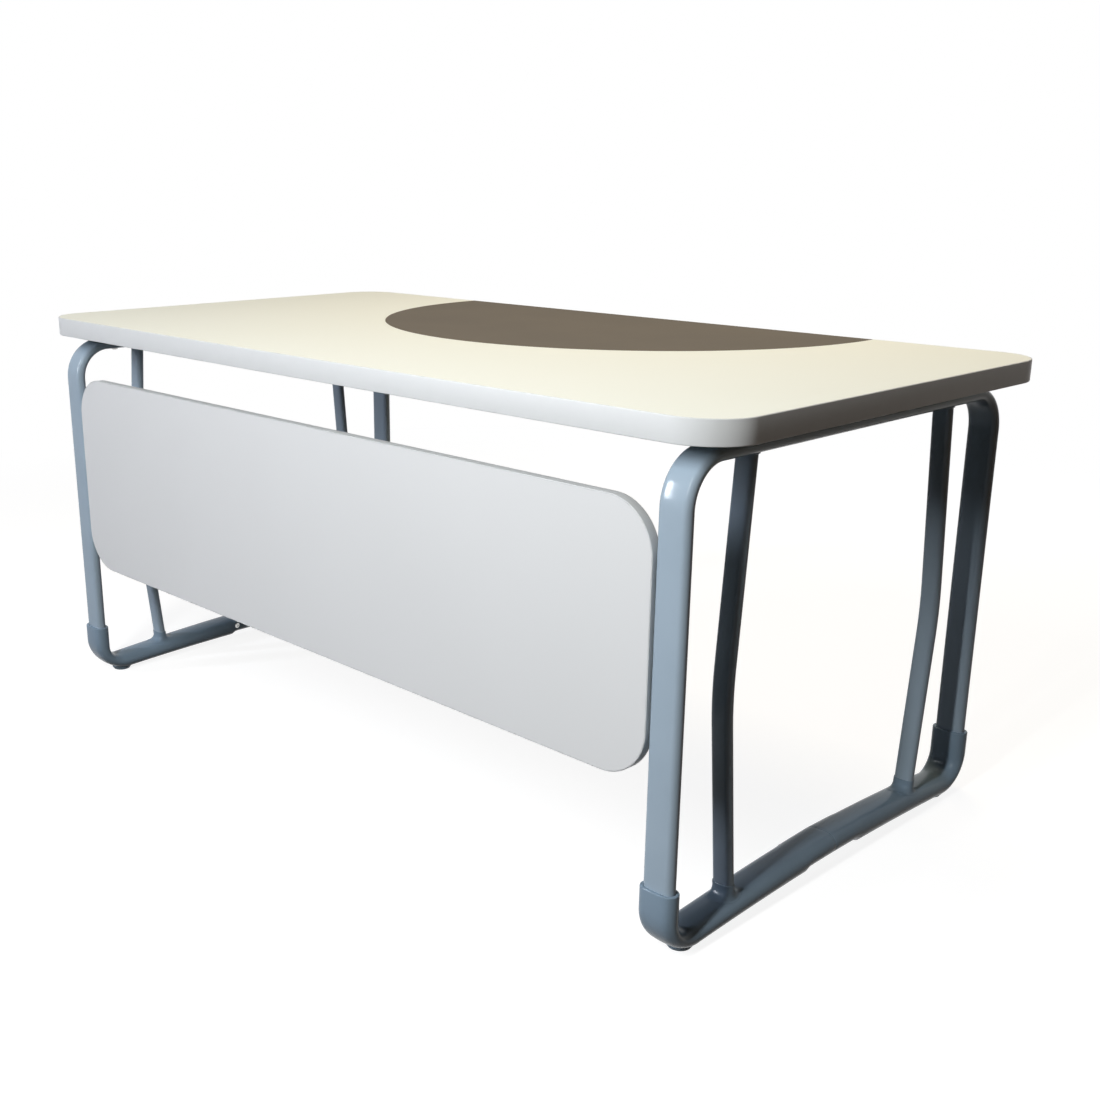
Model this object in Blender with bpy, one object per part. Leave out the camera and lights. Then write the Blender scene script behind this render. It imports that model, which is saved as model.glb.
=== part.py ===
"""Office desk: a bow-fronted top on two looped tube leg frames, with a modesty panel between them.

Lengths are in metres, +Z is up and -Y is the visitor's side, where the modesty panel hangs.
The origin lies on the floor under the middle of the desktop. Left is -X and front is -Y.
"""

import math

import bmesh
import bpy
from mathutils import Vector

# The whole desk
DESK_WIDTH = 1.600
DESK_DEPTH = 0.824
DESK_HEIGHT = 0.720
SEAT_GAP = 0.0003
CUT_OVERRUN = 0.004
MERGE_DISTANCE = 0.00001

# Desktop: a laminated board, its edge band and the dark inlay
BOARD_THICKNESS = 0.033
CORNER_RADIUS = 0.075
VISITOR_BOW = 0.0055
EDGE_BAND_THICKNESS = 0.002
EDGE_BAND_ROUND = 0.0012
INLAY_RADIUS = 0.479
INLAY_CENTRE_X = 0.025
INLAY_CENTRE_SETBACK = 0.029
INLAY_THICKNESS = 0.002

# Leg frames: where they stand under the top, and the oval tube of each hoop
LEG_SETBACK = 0.073
FRONT_POST_SETBACK = 0.0234
REAR_POST_SETBACK = 0.0386
HOOP_WIDTH = 0.048
HOOP_DEPTH = 0.020
HOOP_WALL = 0.002
HOOP_BEND_RADIUS = 0.062
SPACER_HEIGHT = 0.0105

# Bowed struts inside each hoop, placed by their distance in from its posts
STRUT_WIDTH = 0.032
STRUT_DEPTH = 0.017
STRUT_WALL = 0.0015
STRUT_TOP_INSET = 0.136
STRUT_KNEE_INSET = 0.113
STRUT_FOOT_INSET = 0.142
STRUT_KNEE_HEIGHT = 0.337
STRUT_FOOT_HEIGHT = 0.045
STRUT_BEND_RADIUS = 0.5

# Moulded feet: a sleeve, an elbow and half of the arched foot bar
SLEEVE_HEIGHT = 0.103
SLEEVE_WALL = 0.0047
SLEEVE_RIM_ROUND = 0.0015
SLEEVE_SEAT_HEIGHT = 0.062
ELBOW_OUTER_REACH = 0.072
ELBOW_OUTER_RISE = 0.068
ELBOW_INNER_REACH = 0.026
ELBOW_INNER_RISE = 0.024
BAR_WIDTH = 0.057
BAR_SIDE_ROUND = 0.020
BAR_DEPTH_AT_ELBOW = 0.031
BAR_DEPTH_AT_MIDDLE = 0.040
FOOT_CLEARANCE = 0.0042
UNDERSIDE_RISE = 0.0085
NECK_LENGTH = 0.073
NECK_STEP = 0.005
NECK_STEP_LENGTH = 0.010
COLLAR_HEIGHT = 0.017
COLLAR_WALL = 0.0022
COLLAR_FLARE_ALONG = 0.016
COLLAR_FLARE_ACROSS = 0.005
COLLAR_ROUND_SHARE = 0.8
STRUT_SEAT_DEPTH = 0.030
CORING_WIDTH = 0.030
CORING_DEPTH = 0.009
CORING_NECK_GAP = 0.027
CORING_STRUT_GAP = 0.034
CORING_RIB = 0.004

# Joiner inside the two foot bars, and the screws that hold it
JOINER_WIDTH = 0.036
JOINER_DEPTH = 0.016
JOINER_WALL = 0.0025
JOINER_LENGTH = 0.170
JOINER_SCREW_OFFSET = 0.064
JOINER_SCREW_RADIUS = 0.003
JOINER_SCREW_LENGTH = 0.014
JOINER_HEAD_RADIUS = 0.0055
JOINER_HEAD_HEIGHT = 0.0035
SPOTFACE_DEPTH = 0.0025

# Levelling glides: a base on a stud, in a threaded bush under each elbow
GLIDE_INSET = 0.048
GLIDE_RADIUS = 0.0165
GLIDE_BASE_HEIGHT = 0.0060
GLIDE_BASE_ROUND = 0.0012
GLIDE_BASE_FLOOR = 0.0030
STUD_RADIUS = 0.004
STUD_LENGTH = 0.021
BUSH_RADIUS = 0.007
GLIDE_BOSS_WALL = 0.002
GLIDE_BOSS_DROP = 0.0005
BUSH_LENGTH = 0.012
RUNNING_GAP = 0.0004

# Spacers and long screws between each top bar and the desktop
SPACER_RADIUS = 0.013
TOP_SCREW_INSET = 0.086
TOP_SCREW_RADIUS = 0.003
TOP_SCREW_BITE = 0.022
TOP_HEAD_RADIUS = 0.006
TOP_HEAD_HEIGHT = 0.004
SCREW_CLEARANCE = 0.0004
HEAD_FLAT_SHARE = 0.65
HEAD_EDGE_SHARE = 0.5

# Modesty panel, its edge band and the joggled straps behind it
PANEL_DROP = 0.076
PANEL_HEIGHT = 0.370
PANEL_THICKNESS = 0.016
PANEL_CORNER_RADIUS = 0.073
PANEL_END_GAP = 0.002
PANEL_FACE_SETBACK = 0.0005
PANEL_BAND_THICKNESS = 0.0012
PANEL_BAND_ROUND = 0.0006
STRAP_HEIGHT = 0.030
STRAP_THICKNESS = 0.0025
STRAP_POST_LENGTH = 0.030
STRAP_PANEL_LENGTH = 0.040
STRAP_JOGGLE_LENGTH = 0.015
STRAP_EDGE_DISTANCE = 0.085
STRAP_SCREW_RADIUS = 0.0020
STRAP_HEAD_RADIUS = 0.0042
STRAP_HEAD_HEIGHT = 0.0024
STRAP_SCREW_BITE = 0.010

# How finely round shapes are divided, and where smooth shading stops
OVAL_STEPS = 6
STRUT_OVAL_STEPS = 5
BEND_STEPS = 6
BAR_STEPS = 4
STRUT_BEND_STEPS = 4
CORNER_STEPS = 8
BOW_STEPS = 8
INLAY_STEPS = 36
ROUND_STEPS = 16
SCREW_STEPS = 8
SMOOTH_ANGLE = math.radians(50)

# Places that several pieces share
HALF_DEPTH = DESK_DEPTH / 2
BOARD_BOTTOM = DESK_HEIGHT - BOARD_THICKNESS
LEG_X = DESK_WIDTH / 2 - LEG_SETBACK
FRONT_POST_Y = FRONT_POST_SETBACK - HALF_DEPTH
REAR_POST_Y = HALF_DEPTH - REAR_POST_SETBACK
LEG_Y = (FRONT_POST_Y + REAR_POST_Y) / 2
POST_OFFSET = (REAR_POST_Y - FRONT_POST_Y) / 2
TOP_BAR_TOP = BOARD_BOTTOM - SPACER_HEIGHT
TOP_BAR_HEIGHT = TOP_BAR_TOP - HOOP_DEPTH / 2
TOP_BAR_BOTTOM = TOP_BAR_TOP - HOOP_DEPTH
TOP_SCREW_OFFSET = POST_OFFSET - TOP_SCREW_INSET
TOP_SCREW_OFFSETS = (-TOP_SCREW_OFFSET, 0, TOP_SCREW_OFFSET)
STRUT_TOP_OFFSET = POST_OFFSET - STRUT_TOP_INSET
STRUT_KNEE_OFFSET = POST_OFFSET - STRUT_KNEE_INSET
STRUT_FOOT_OFFSET = POST_OFFSET - STRUT_FOOT_INSET
FOOT_SLOPE = (STRUT_KNEE_OFFSET - STRUT_FOOT_OFFSET) / (STRUT_KNEE_HEIGHT - STRUT_FOOT_HEIGHT)
TOP_SLOPE = (STRUT_KNEE_OFFSET - STRUT_TOP_OFFSET) / (TOP_BAR_BOTTOM - STRUT_KNEE_HEIGHT)
SLEEVE_HALF_DEPTH = HOOP_DEPTH / 2 + SEAT_GAP + SLEEVE_WALL
SLEEVE_HALF_WIDTH = HOOP_WIDTH / 2 + SEAT_GAP + SLEEVE_WALL
BAR_END_OFFSET = POST_OFFSET + SLEEVE_HALF_DEPTH - ELBOW_OUTER_REACH
GLIDE_OFFSET = POST_OFFSET - GLIDE_INSET
GLIDE_SEAT_HEIGHT = GLIDE_BASE_HEIGHT + SEAT_GAP
CORING_START = NECK_LENGTH + CORING_NECK_GAP
CORING_END = STRUT_FOOT_OFFSET - CORING_STRUT_GAP
PANEL_TOP_HEIGHT = BOARD_BOTTOM - PANEL_DROP
PANEL_BOTTOM_HEIGHT = PANEL_TOP_HEIGHT - PANEL_HEIGHT
PANEL_FRONT_Y = FRONT_POST_Y - HOOP_DEPTH / 2 + PANEL_FACE_SETBACK
PANEL_BACK_Y = PANEL_FRONT_Y + PANEL_THICKNESS
PANEL_HALF_WIDTH = LEG_X - HOOP_WIDTH / 2 - PANEL_END_GAP
PANEL_SCREW_X = PANEL_HALF_WIDTH - STRAP_PANEL_LENGTH / 2
STRAP_HEIGHTS = (PANEL_BOTTOM_HEIGHT + STRAP_EDGE_DISTANCE, PANEL_TOP_HEIGHT - STRAP_EDGE_DISTANCE)


def clear_scene():
    for found in list(bpy.data.objects):
        bpy.data.objects.remove(found, do_unlink=True)


def principled(name, colour, roughness, metallic=0.0):
    material = bpy.data.materials.new(name)
    material.use_nodes = True
    shader = material.node_tree.nodes["Principled BSDF"]
    shader.inputs["Base Color"].default_value = (*colour, 1.0)
    shader.inputs["Roughness"].default_value = roughness
    shader.inputs["Metallic"].default_value = metallic
    material.diffuse_color = (*colour, 1.0)
    return material


def laminate_material(name):
    return principled(name, (0.82, 0.80, 0.68), 0.42)


def inlay_material(name):
    return principled(name, (0.13, 0.115, 0.10), 0.55)


def edging_material(name):
    return principled(name, (0.62, 0.64, 0.68), 0.45)


def panel_material(name):
    return principled(name, (0.58, 0.60, 0.62), 0.50)


def paint_material(name):
    return principled(name, (0.30, 0.37, 0.42), 0.35)


def casting_material(name):
    return principled(name, (0.24, 0.30, 0.35), 0.42)


def steel_material(name):
    return principled(name, (0.62, 0.62, 0.60), 0.30, metallic=1.0)


def nylon_material(name):
    return principled(name, (0.02, 0.02, 0.02), 0.50)


def new_object(name, body, material, parent=None, place=(0, 0, 0), tilt=(0, 0, 0)):
    """Makes a named object from a bmesh, smooth but for its sharp edges."""
    bmesh.ops.recalc_face_normals(body, faces=body.faces)
    mesh = bpy.data.meshes.new(name)
    body.to_mesh(mesh)
    body.free()
    mesh.materials.append(material)
    mesh.shade_smooth()
    mesh.set_sharp_from_angle(angle=SMOOTH_ANGLE)
    made = bpy.data.objects.new(name, mesh)
    made.location = place
    made.rotation_euler = tilt
    made.parent = parent
    bpy.context.scene.collection.objects.link(made)
    return made


def extrude_loop(body, corners, edges, points):
    """Extrudes a loop of edges, with each new corner on its point of the next ring."""
    made = bmesh.ops.extrude_edge_only(body, edges=edges)["geom"]
    fresh = [item for item in made if isinstance(item, bmesh.types.BMVert)]
    following = []
    for corner, point in zip(corners, points):
        ends = [edge.other_vert(corner) for edge in corner.link_edges]
        copy = next(end for end in ends if end in fresh)
        copy.co = point
        following.append(copy)
    return following, [item for item in made if isinstance(item, bmesh.types.BMEdge)]


def skin(name, rings, material, hollow=False, **where):
    """Extrudes the first ring from one to the next; a hollow body ends where it began."""
    body = bmesh.new()
    corners = [body.verts.new(point) for point in rings[0]]
    edges = [body.edges.new((corners[i - 1], corners[i])) for i in range(len(corners))]
    for ring in rings[1:] + rings[:1] if hollow else rings[1:]:
        corners, edges = extrude_loop(body, corners, edges, ring)
    if hollow:
        bmesh.ops.remove_doubles(body, verts=body.verts, dist=MERGE_DISTANCE)
    else:
        bmesh.ops.holes_fill(body, edges=body.edges)
    return new_object(name, body, material, **where)


def turn_about_z(facing):
    return (0, 0, facing)


def turn_z_to_x(way):
    """Lays a turned piece's axis along X, or the other way along it for -1."""
    return (0, way * math.pi / 2, 0)


def turn_z_to_y():
    return (-math.pi / 2, 0, 0)


def revolve(name, profile, material, steps=ROUND_STEPS, open_bore=False, **where):
    """Spins (radius, height) points round Z; a piece with an open bore closes on itself."""
    body = bmesh.new()
    corners = [body.verts.new((radius, 0, height)) for radius, height in profile]
    edges = [body.edges.new(pair) for pair in zip(corners, corners[1:])]
    if open_bore:
        edges.append(body.edges.new((corners[-1], corners[0])))
    bmesh.ops.spin(
        body,
        geom=corners + edges,
        cent=(0, 0, 0),
        axis=(0, 0, 1),
        angle=2 * math.pi,
        steps=steps,
        use_merge=True,
    )
    if not open_bore:
        bmesh.ops.holes_fill(body, edges=body.edges)
    return new_object(name, body, material, **where)


def round_bar(name, radius, low, high, material, **where):
    return revolve(name, [(radius, low), (radius, high)], material, SCREW_STEPS, **where)


def combine(target, other, operation):
    """Cuts or joins with a live Boolean; the other body stays in the scene as a hidden guide."""
    other.hide_render = True
    other.display_type = "WIRE"
    modifier = target.modifiers.new(other.name, "BOOLEAN")
    modifier.operation = operation
    modifier.solver = "EXACT"
    modifier.object = other


def oval(half_width, half_depth, steps, end_round=None):
    """Points (across, deep) of a flat oval; end_round stretches its round ends."""
    reach = half_depth if end_round is None else end_round
    points = []
    for side in (1, -1):
        for i in range(steps + 1):
            angle = math.pi * i / steps - math.pi / 2
            across = half_width - reach + reach * math.cos(angle)
            points.append((side * across, side * half_depth * math.sin(angle)))
    return points


def oval_ring(centre, deep, half_width, half_depth, steps=OVAL_STEPS, end_round=None):
    """A flat oval round a centre, wide along X and deep along the given direction."""
    return [
        centre + Vector((across, 0, 0)) + depth * deep
        for across, depth in oval(half_width, half_depth, steps, end_round)
    ]


def outline_corners(half_x, half_y, radius):
    """A rounded rectangle, counter-clockwise from its low side, as (x, y)."""
    points = []
    for quarter, (side_x, side_y) in enumerate(((1, -1), (1, 1), (-1, 1), (-1, -1))):
        centre_x = side_x * (half_x - radius)
        centre_y = side_y * (half_y - radius)
        for i in range(CORNER_STEPS + 1):
            angle = math.pi / 2 * (quarter - 1 + i / CORNER_STEPS)
            points.append((centre_x + radius * math.cos(angle), centre_y + radius * math.sin(angle)))
    return points


def desktop_outline(inset):
    """The top's outline, set in by a distance, with the visitor's side bowed outwards."""
    half_x = DESK_WIDTH / 2 - inset
    half_y = HALF_DEPTH - inset
    radius = CORNER_RADIUS - inset
    points = outline_corners(half_x, half_y, radius)
    straight = half_x - radius
    for i in range(1, BOW_STEPS):
        points.append((straight * (2 * i / BOW_STEPS - 1), -half_y))
    low = radius - half_y
    return [
        (x, y + VISITOR_BOW * (x / half_x) ** 2 if y < low + SEAT_GAP else y)
        for x, y in points
    ]


def band_section(thickness, rounding, low, high):
    """(inset, height) points round an edge band, its two outer arrises rounded."""
    soft = rounding * (1 - math.sqrt(0.5))
    return [
        (thickness, low),
        (rounding, low),
        (soft, low + soft),
        (0, low + rounding),
        (0, high - rounding),
        (soft, high - soft),
        (rounding, high),
        (thickness, high),
    ]


def inlay_outline(radius, back_y):
    """The inlay's round edge, closed by a straight line along the sitter's side."""
    centre_y = HALF_DEPTH - INLAY_CENTRE_SETBACK
    rise = math.asin((back_y - centre_y) / radius)
    sweep = math.pi + 2 * rise
    angles = [rise - sweep * i / INLAY_STEPS for i in range(INLAY_STEPS + 1)]
    return [
        (INLAY_CENTRE_X + radius * math.cos(angle), centre_y + radius * math.sin(angle))
        for angle in angles
    ]


def prism(name, outline, low, high, material):
    return skin(name, [[(x, y, z) for x, y in outline] for z in (low, high)], material)


def build_board(laminate, inset):
    """The board, with a pocket for the inlay and pilot holes for the screws from below."""
    board = prism("desktop_board", desktop_outline(inset), BOARD_BOTTOM, DESK_HEIGHT, laminate)
    pocket_outline = inlay_outline(INLAY_RADIUS + SEAT_GAP, HALF_DEPTH + CUT_OVERRUN)
    pocket_floor = DESK_HEIGHT - INLAY_THICKNESS - SEAT_GAP
    pocket_top = DESK_HEIGHT + CUT_OVERRUN
    pocket = prism("inlay_pocket", pocket_outline, pocket_floor, pocket_top, laminate)
    combine(board, pocket, "DIFFERENCE")
    radius = TOP_SCREW_RADIUS + SCREW_CLEARANCE
    low = BOARD_BOTTOM - CUT_OVERRUN
    high = BOARD_BOTTOM + TOP_SCREW_BITE + SEAT_GAP
    for side in (-1, 1):
        for offset in TOP_SCREW_OFFSETS:
            place = (side * LEG_X, LEG_Y + offset, 0)
            combine(board, round_bar("board_pilot", radius, low, high, laminate, place=place), "DIFFERENCE")


def build_edge_band():
    section = band_section(EDGE_BAND_THICKNESS, EDGE_BAND_ROUND, BOARD_BOTTOM, DESK_HEIGHT)
    rings = [[(x, y, z) for x, y in desktop_outline(inset)] for inset, z in section]
    skin("desktop_edge_band", rings, edging_material("edging"), hollow=True)


def build_inlay(inset):
    outline = inlay_outline(INLAY_RADIUS, HALF_DEPTH - inset)
    low = DESK_HEIGHT - INLAY_THICKNESS
    prism("writing_inlay", outline, low, DESK_HEIGHT, inlay_material("inlay"))


def build_desktop():
    board_inset = EDGE_BAND_THICKNESS + SEAT_GAP
    build_board(laminate_material("laminate"), board_inset)
    build_edge_band()
    build_inlay(board_inset)


def hoop_path():
    """(along, height, turn) down the middle of the hoop tube, from the front post's end on."""
    start = SLEEVE_SEAT_HEIGHT + SEAT_GAP
    bend_centre = POST_OFFSET - HOOP_BEND_RADIUS
    bend_base = TOP_BAR_HEIGHT - HOOP_BEND_RADIUS
    front = [(-POST_OFFSET, start, 0)]
    for i in range(BEND_STEPS + 1):
        turn = math.pi / 2 * i / BEND_STEPS
        along = -bend_centre - HOOP_BEND_RADIUS * math.cos(turn)
        front.append((along, bend_base + HOOP_BEND_RADIUS * math.sin(turn), turn))
    rear = [(-along, height, math.pi - turn) for along, height, turn in reversed(front)]
    return front + rear


def hoop_rings(shrink):
    half_width = HOOP_WIDTH / 2 - shrink
    half_depth = HOOP_DEPTH / 2 - shrink
    rings = []
    for along, height, turn in hoop_path():
        outward = Vector((0, -math.cos(turn), math.sin(turn)))
        rings.append(oval_ring(Vector((0, along, height)), outward, half_width, half_depth))
    return rings


def build_hoop(name, parent):
    """A hoop with holes in its top bar for the desktop's screws, and in its front post."""
    paint = paint_material(name + "_paint")
    rings = hoop_rings(0) + hoop_rings(HOOP_WALL)[::-1]
    hoop = skin(name + "_hoop", rings, paint, hollow=True, parent=parent)
    radius = TOP_SCREW_RADIUS + SCREW_CLEARANCE
    low = TOP_BAR_BOTTOM - CUT_OVERRUN
    high = TOP_BAR_TOP + CUT_OVERRUN
    for offset in TOP_SCREW_OFFSETS:
        hole = round_bar("hoop_hole", radius, low, high, paint, parent=parent, place=(0, offset, 0))
        combine(hoop, hole, "DIFFERENCE")
    radius = STRAP_SCREW_RADIUS + SCREW_CLEARANCE
    near = -POST_OFFSET + HOOP_DEPTH / 4
    far = -POST_OFFSET + HOOP_DEPTH / 2 + CUT_OVERRUN
    for height in STRAP_HEIGHTS:
        where = {"parent": parent, "place": (0, 0, height), "tilt": turn_z_to_y()}
        combine(hoop, round_bar("post_hole", radius, near, far, paint, **where), "DIFFERENCE")


def strut_offset(height):
    """How far the strut's middle lies from the middle of the leg at a height."""
    tangent = STRUT_BEND_RADIUS * (FOOT_SLOPE + TOP_SLOPE) / 2
    rise = height - STRUT_KNEE_HEIGHT
    straight = STRUT_KNEE_OFFSET + (FOOT_SLOPE * rise if rise < 0 else -TOP_SLOPE * rise)
    if abs(rise) >= tangent:
        return straight
    return straight - (tangent - abs(rise)) ** 2 / (2 * STRUT_BEND_RADIUS)


def strut_ring(height, grow):
    centre = Vector((0, -strut_offset(height), height))
    deep = Vector((0, 1, 0))
    return oval_ring(centre, deep, STRUT_WIDTH / 2 + grow, STRUT_DEPTH / 2 + grow, STRUT_OVAL_STEPS)


def build_strut(name, **where):
    """A bent tube from the foot's socket to the top bar, its rings close together in its bend."""
    low = collar_top() - STRUT_SEAT_DEPTH + SEAT_GAP
    high = TOP_BAR_BOTTOM - SEAT_GAP
    reach = STRUT_BEND_RADIUS * FOOT_SLOPE
    shares = [2 * i / STRUT_BEND_STEPS - 1 for i in range(STRUT_BEND_STEPS + 1)]
    heights = [low] + [STRUT_KNEE_HEIGHT + reach * share for share in shares] + [high]
    outside = [strut_ring(height, 0) for height in heights]
    inside = [strut_ring(height, -STRUT_WALL) for height in heights]
    paint = paint_material(name + "_strut_paint")
    skin(name + "_strut", outside + inside[::-1], paint, hollow=True, **where)


def bar_arch(offset):
    """Height of the bar's arched underside before the neck's step."""
    share = offset / BAR_END_OFFSET
    return FOOT_CLEARANCE + UNDERSIDE_RISE * (1 - share * share)


def bar_low(offset):
    """Height of the foot bar's underside at a distance from the middle of the leg."""
    into_neck = (NECK_LENGTH - offset) / NECK_STEP_LENGTH
    return bar_arch(offset) + NECK_STEP * min(max(into_neck, 0), 1)


def bar_high(offset):
    """Height of the foot bar's top, which rises towards the middle of the leg."""
    share = offset / BAR_END_OFFSET
    taper = (BAR_DEPTH_AT_ELBOW - BAR_DEPTH_AT_MIDDLE) * share
    return bar_arch(offset) + BAR_DEPTH_AT_MIDDLE + taper


def foot_ring(inner, outer, half_width, end_round):
    """A ring of the foot between a point on its inner line and one on its outer line."""
    centre = (inner + outer) / 2
    deep = (outer - inner).normalized()
    half_depth = (outer - inner).length / 2
    return oval_ring(centre, deep, half_width, half_depth, end_round=end_round)


def sleeve_rings():
    """The sleeve's rounded rim."""
    rings = []
    for shrink, drop in ((SLEEVE_RIM_ROUND, 0), (0, SLEEVE_RIM_ROUND)):
        height = SLEEVE_HEIGHT - drop
        half_depth = SLEEVE_HALF_DEPTH - shrink
        inner = Vector((0, -POST_OFFSET + half_depth, height))
        outer = Vector((0, -POST_OFFSET - half_depth, height))
        rings.append(foot_ring(inner, outer, SLEEVE_HALF_WIDTH - shrink, half_depth))
    return rings


def elbow_rings():
    """The elbow, whose inner and outer lines are quarter ellipses of their own."""
    rings = []
    bar_inner = POST_OFFSET - SLEEVE_HALF_DEPTH - ELBOW_INNER_REACH
    inner_top = bar_high(bar_inner) + ELBOW_INNER_RISE
    outer_top = FOOT_CLEARANCE + ELBOW_OUTER_RISE
    for i in range(BEND_STEPS + 1):
        turn = math.pi / 2 * i / BEND_STEPS
        outer_y = -BAR_END_OFFSET - ELBOW_OUTER_REACH * math.cos(turn)
        inner_y = -bar_inner - ELBOW_INNER_REACH * math.cos(turn)
        outer = Vector((0, outer_y, outer_top - ELBOW_OUTER_RISE * math.sin(turn)))
        inner = Vector((0, inner_y, inner_top - ELBOW_INNER_RISE * math.sin(turn)))
        share = i / BEND_STEPS
        half_width = SLEEVE_HALF_WIDTH + (BAR_WIDTH / 2 - SLEEVE_HALF_WIDTH) * share
        end_round = SLEEVE_HALF_DEPTH + (BAR_SIDE_ROUND - SLEEVE_HALF_DEPTH) * share
        rings.append(foot_ring(inner, outer, half_width, end_round))
    return rings


def bar_rings():
    """The half bar from its elbow to the middle of the leg, with its thinner neck."""
    run = NECK_LENGTH - BAR_END_OFFSET
    offsets = [BAR_END_OFFSET + run * i / BAR_STEPS for i in range(1, BAR_STEPS + 1)]
    offsets += [NECK_LENGTH - NECK_STEP_LENGTH, SEAT_GAP / 2]
    rings = []
    for offset in offsets:
        inner = Vector((0, -offset, bar_high(offset)))
        outer = Vector((0, -offset, bar_low(offset)))
        rings.append(foot_ring(inner, outer, BAR_WIDTH / 2, BAR_SIDE_ROUND))
    return rings


def collar_base():
    return bar_high(STRUT_FOOT_OFFSET)


def collar_top():
    return collar_base() + COLLAR_HEIGHT


def collar_ring(height, flare):
    centre = Vector((0, -strut_offset(height), height))
    half_width = STRUT_WIDTH / 2 + SEAT_GAP + COLLAR_WALL + COLLAR_FLARE_ACROSS * flare
    half_depth = STRUT_DEPTH / 2 + SEAT_GAP + COLLAR_WALL + COLLAR_FLARE_ALONG * flare
    end_round = min(half_depth, half_width * COLLAR_ROUND_SHARE)
    return oval_ring(centre, Vector((0, 1, 0)), half_width, half_depth, end_round=end_round)


def collar_rings():
    """A flared socket round the strut's foot, rooted inside the bar."""
    rings = [collar_ring((bar_low(STRUT_FOOT_OFFSET) + collar_base()) / 2, 1)]
    for i in range(BAR_STEPS + 1):
        share = i / BAR_STEPS
        flare = 1 - math.sqrt(1 - (1 - share) ** 2)
        rings.append(collar_ring(collar_base() + COLLAR_HEIGHT * share, flare))
    return rings


def joiner_height():
    return (bar_low(0) + bar_high(0)) / 2


def joiner_ring(offset, grow):
    centre = Vector((0, offset, joiner_height()))
    half_width = JOINER_WIDTH / 2 + grow
    half_depth = JOINER_DEPTH / 2 + grow
    return oval_ring(centre, Vector((0, 0, 1)), half_width, half_depth, STRUT_OVAL_STEPS)


def post_socket(casting, where):
    rings = []
    for height in (SLEEVE_SEAT_HEIGHT, SLEEVE_HEIGHT + CUT_OVERRUN):
        centre = Vector((0, -POST_OFFSET, height))
        half_width = HOOP_WIDTH / 2 + SEAT_GAP
        half_depth = HOOP_DEPTH / 2 + SEAT_GAP
        rings.append(oval_ring(centre, Vector((0, 1, 0)), half_width, half_depth))
    return skin("post_socket", rings, casting, **where)


def strut_socket(casting, where):
    heights = (collar_top() - STRUT_SEAT_DEPTH, collar_top() + CUT_OVERRUN)
    return skin("strut_socket", [strut_ring(height, SEAT_GAP) for height in heights], casting, **where)


def joiner_bore(casting, where):
    ends = (-JOINER_LENGTH / 2 - SEAT_GAP, CUT_OVERRUN)
    return skin("joiner_bore", [joiner_ring(end, SEAT_GAP) for end in ends], casting, **where)


def coring_cutters(casting, where):
    """Two troughs in the bar's underside, with a rib left between them."""
    middle = (CORING_START + CORING_END) / 2
    spans = (
        (CORING_START, middle - CORING_RIB / 2),
        (middle + CORING_RIB / 2, CORING_END),
    )
    half = CORING_WIDTH / 2
    found = []
    for span in spans:
        rings = []
        for offset in span:
            top = bar_low(offset) + CORING_DEPTH
            corners = ((-half, -CUT_OVERRUN), (half, -CUT_OVERRUN), (half, top), (-half, top))
            rings.append([(x, -offset, z) for x, z in corners])
        found.append(skin("coring", rings, casting, **where))
    return found


def glide_place(along):
    return (0, along * GLIDE_OFFSET, 0)


def glide_boss(casting, parent, along):
    """The round boss under the elbow that the glide's base retracts into."""
    radius = GLIDE_RADIUS + RUNNING_GAP + GLIDE_BOSS_WALL
    low = FOOT_CLEARANCE - GLIDE_BOSS_DROP
    high = FOOT_CLEARANCE + BAR_DEPTH_AT_ELBOW / 2
    profile = [(radius, low), (radius, high)]
    return revolve("glide_boss", profile, casting, parent=parent, place=glide_place(along))


def glide_cutter(casting, parent, along):
    """The flat seat over a glide, the bush's bore and room for the stud above it."""
    seat = GLIDE_RADIUS + RUNNING_GAP
    bush = BUSH_RADIUS + SEAT_GAP
    bush_top = GLIDE_SEAT_HEIGHT + BUSH_LENGTH + 2 * SEAT_GAP
    stud = STUD_RADIUS + RUNNING_GAP
    stud_top = GLIDE_BASE_FLOOR + STUD_LENGTH + 2 * SEAT_GAP
    profile = [
        (seat, -CUT_OVERRUN),
        (seat, GLIDE_SEAT_HEIGHT),
        (bush, GLIDE_SEAT_HEIGHT),
        (bush, bush_top),
        (stud, bush_top),
        (stud, stud_top),
    ]
    return revolve("glide_cut", profile, casting, parent=parent, place=glide_place(along))


def spotface_x():
    return BAR_WIDTH / 2 - SPOTFACE_DEPTH


def joiner_screw_cutters(casting, parent, along, inner_side):
    """A spotface on the bar's inner side and the screw's hole behind it."""
    where = {
        "parent": parent,
        "place": (0, along * JOINER_SCREW_OFFSET, joiner_height()),
        "tilt": turn_z_to_x(inner_side),
    }
    far = BAR_WIDTH / 2 + CUT_OVERRUN
    head = JOINER_HEAD_RADIUS + RUNNING_GAP
    shank = JOINER_SCREW_RADIUS + SCREW_CLEARANCE
    return [
        round_bar("spotface", head, spotface_x(), far, casting, **where),
        round_bar("joiner_screw_hole", shank, JOINER_WIDTH / 4, far, casting, **where),
    ]


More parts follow.
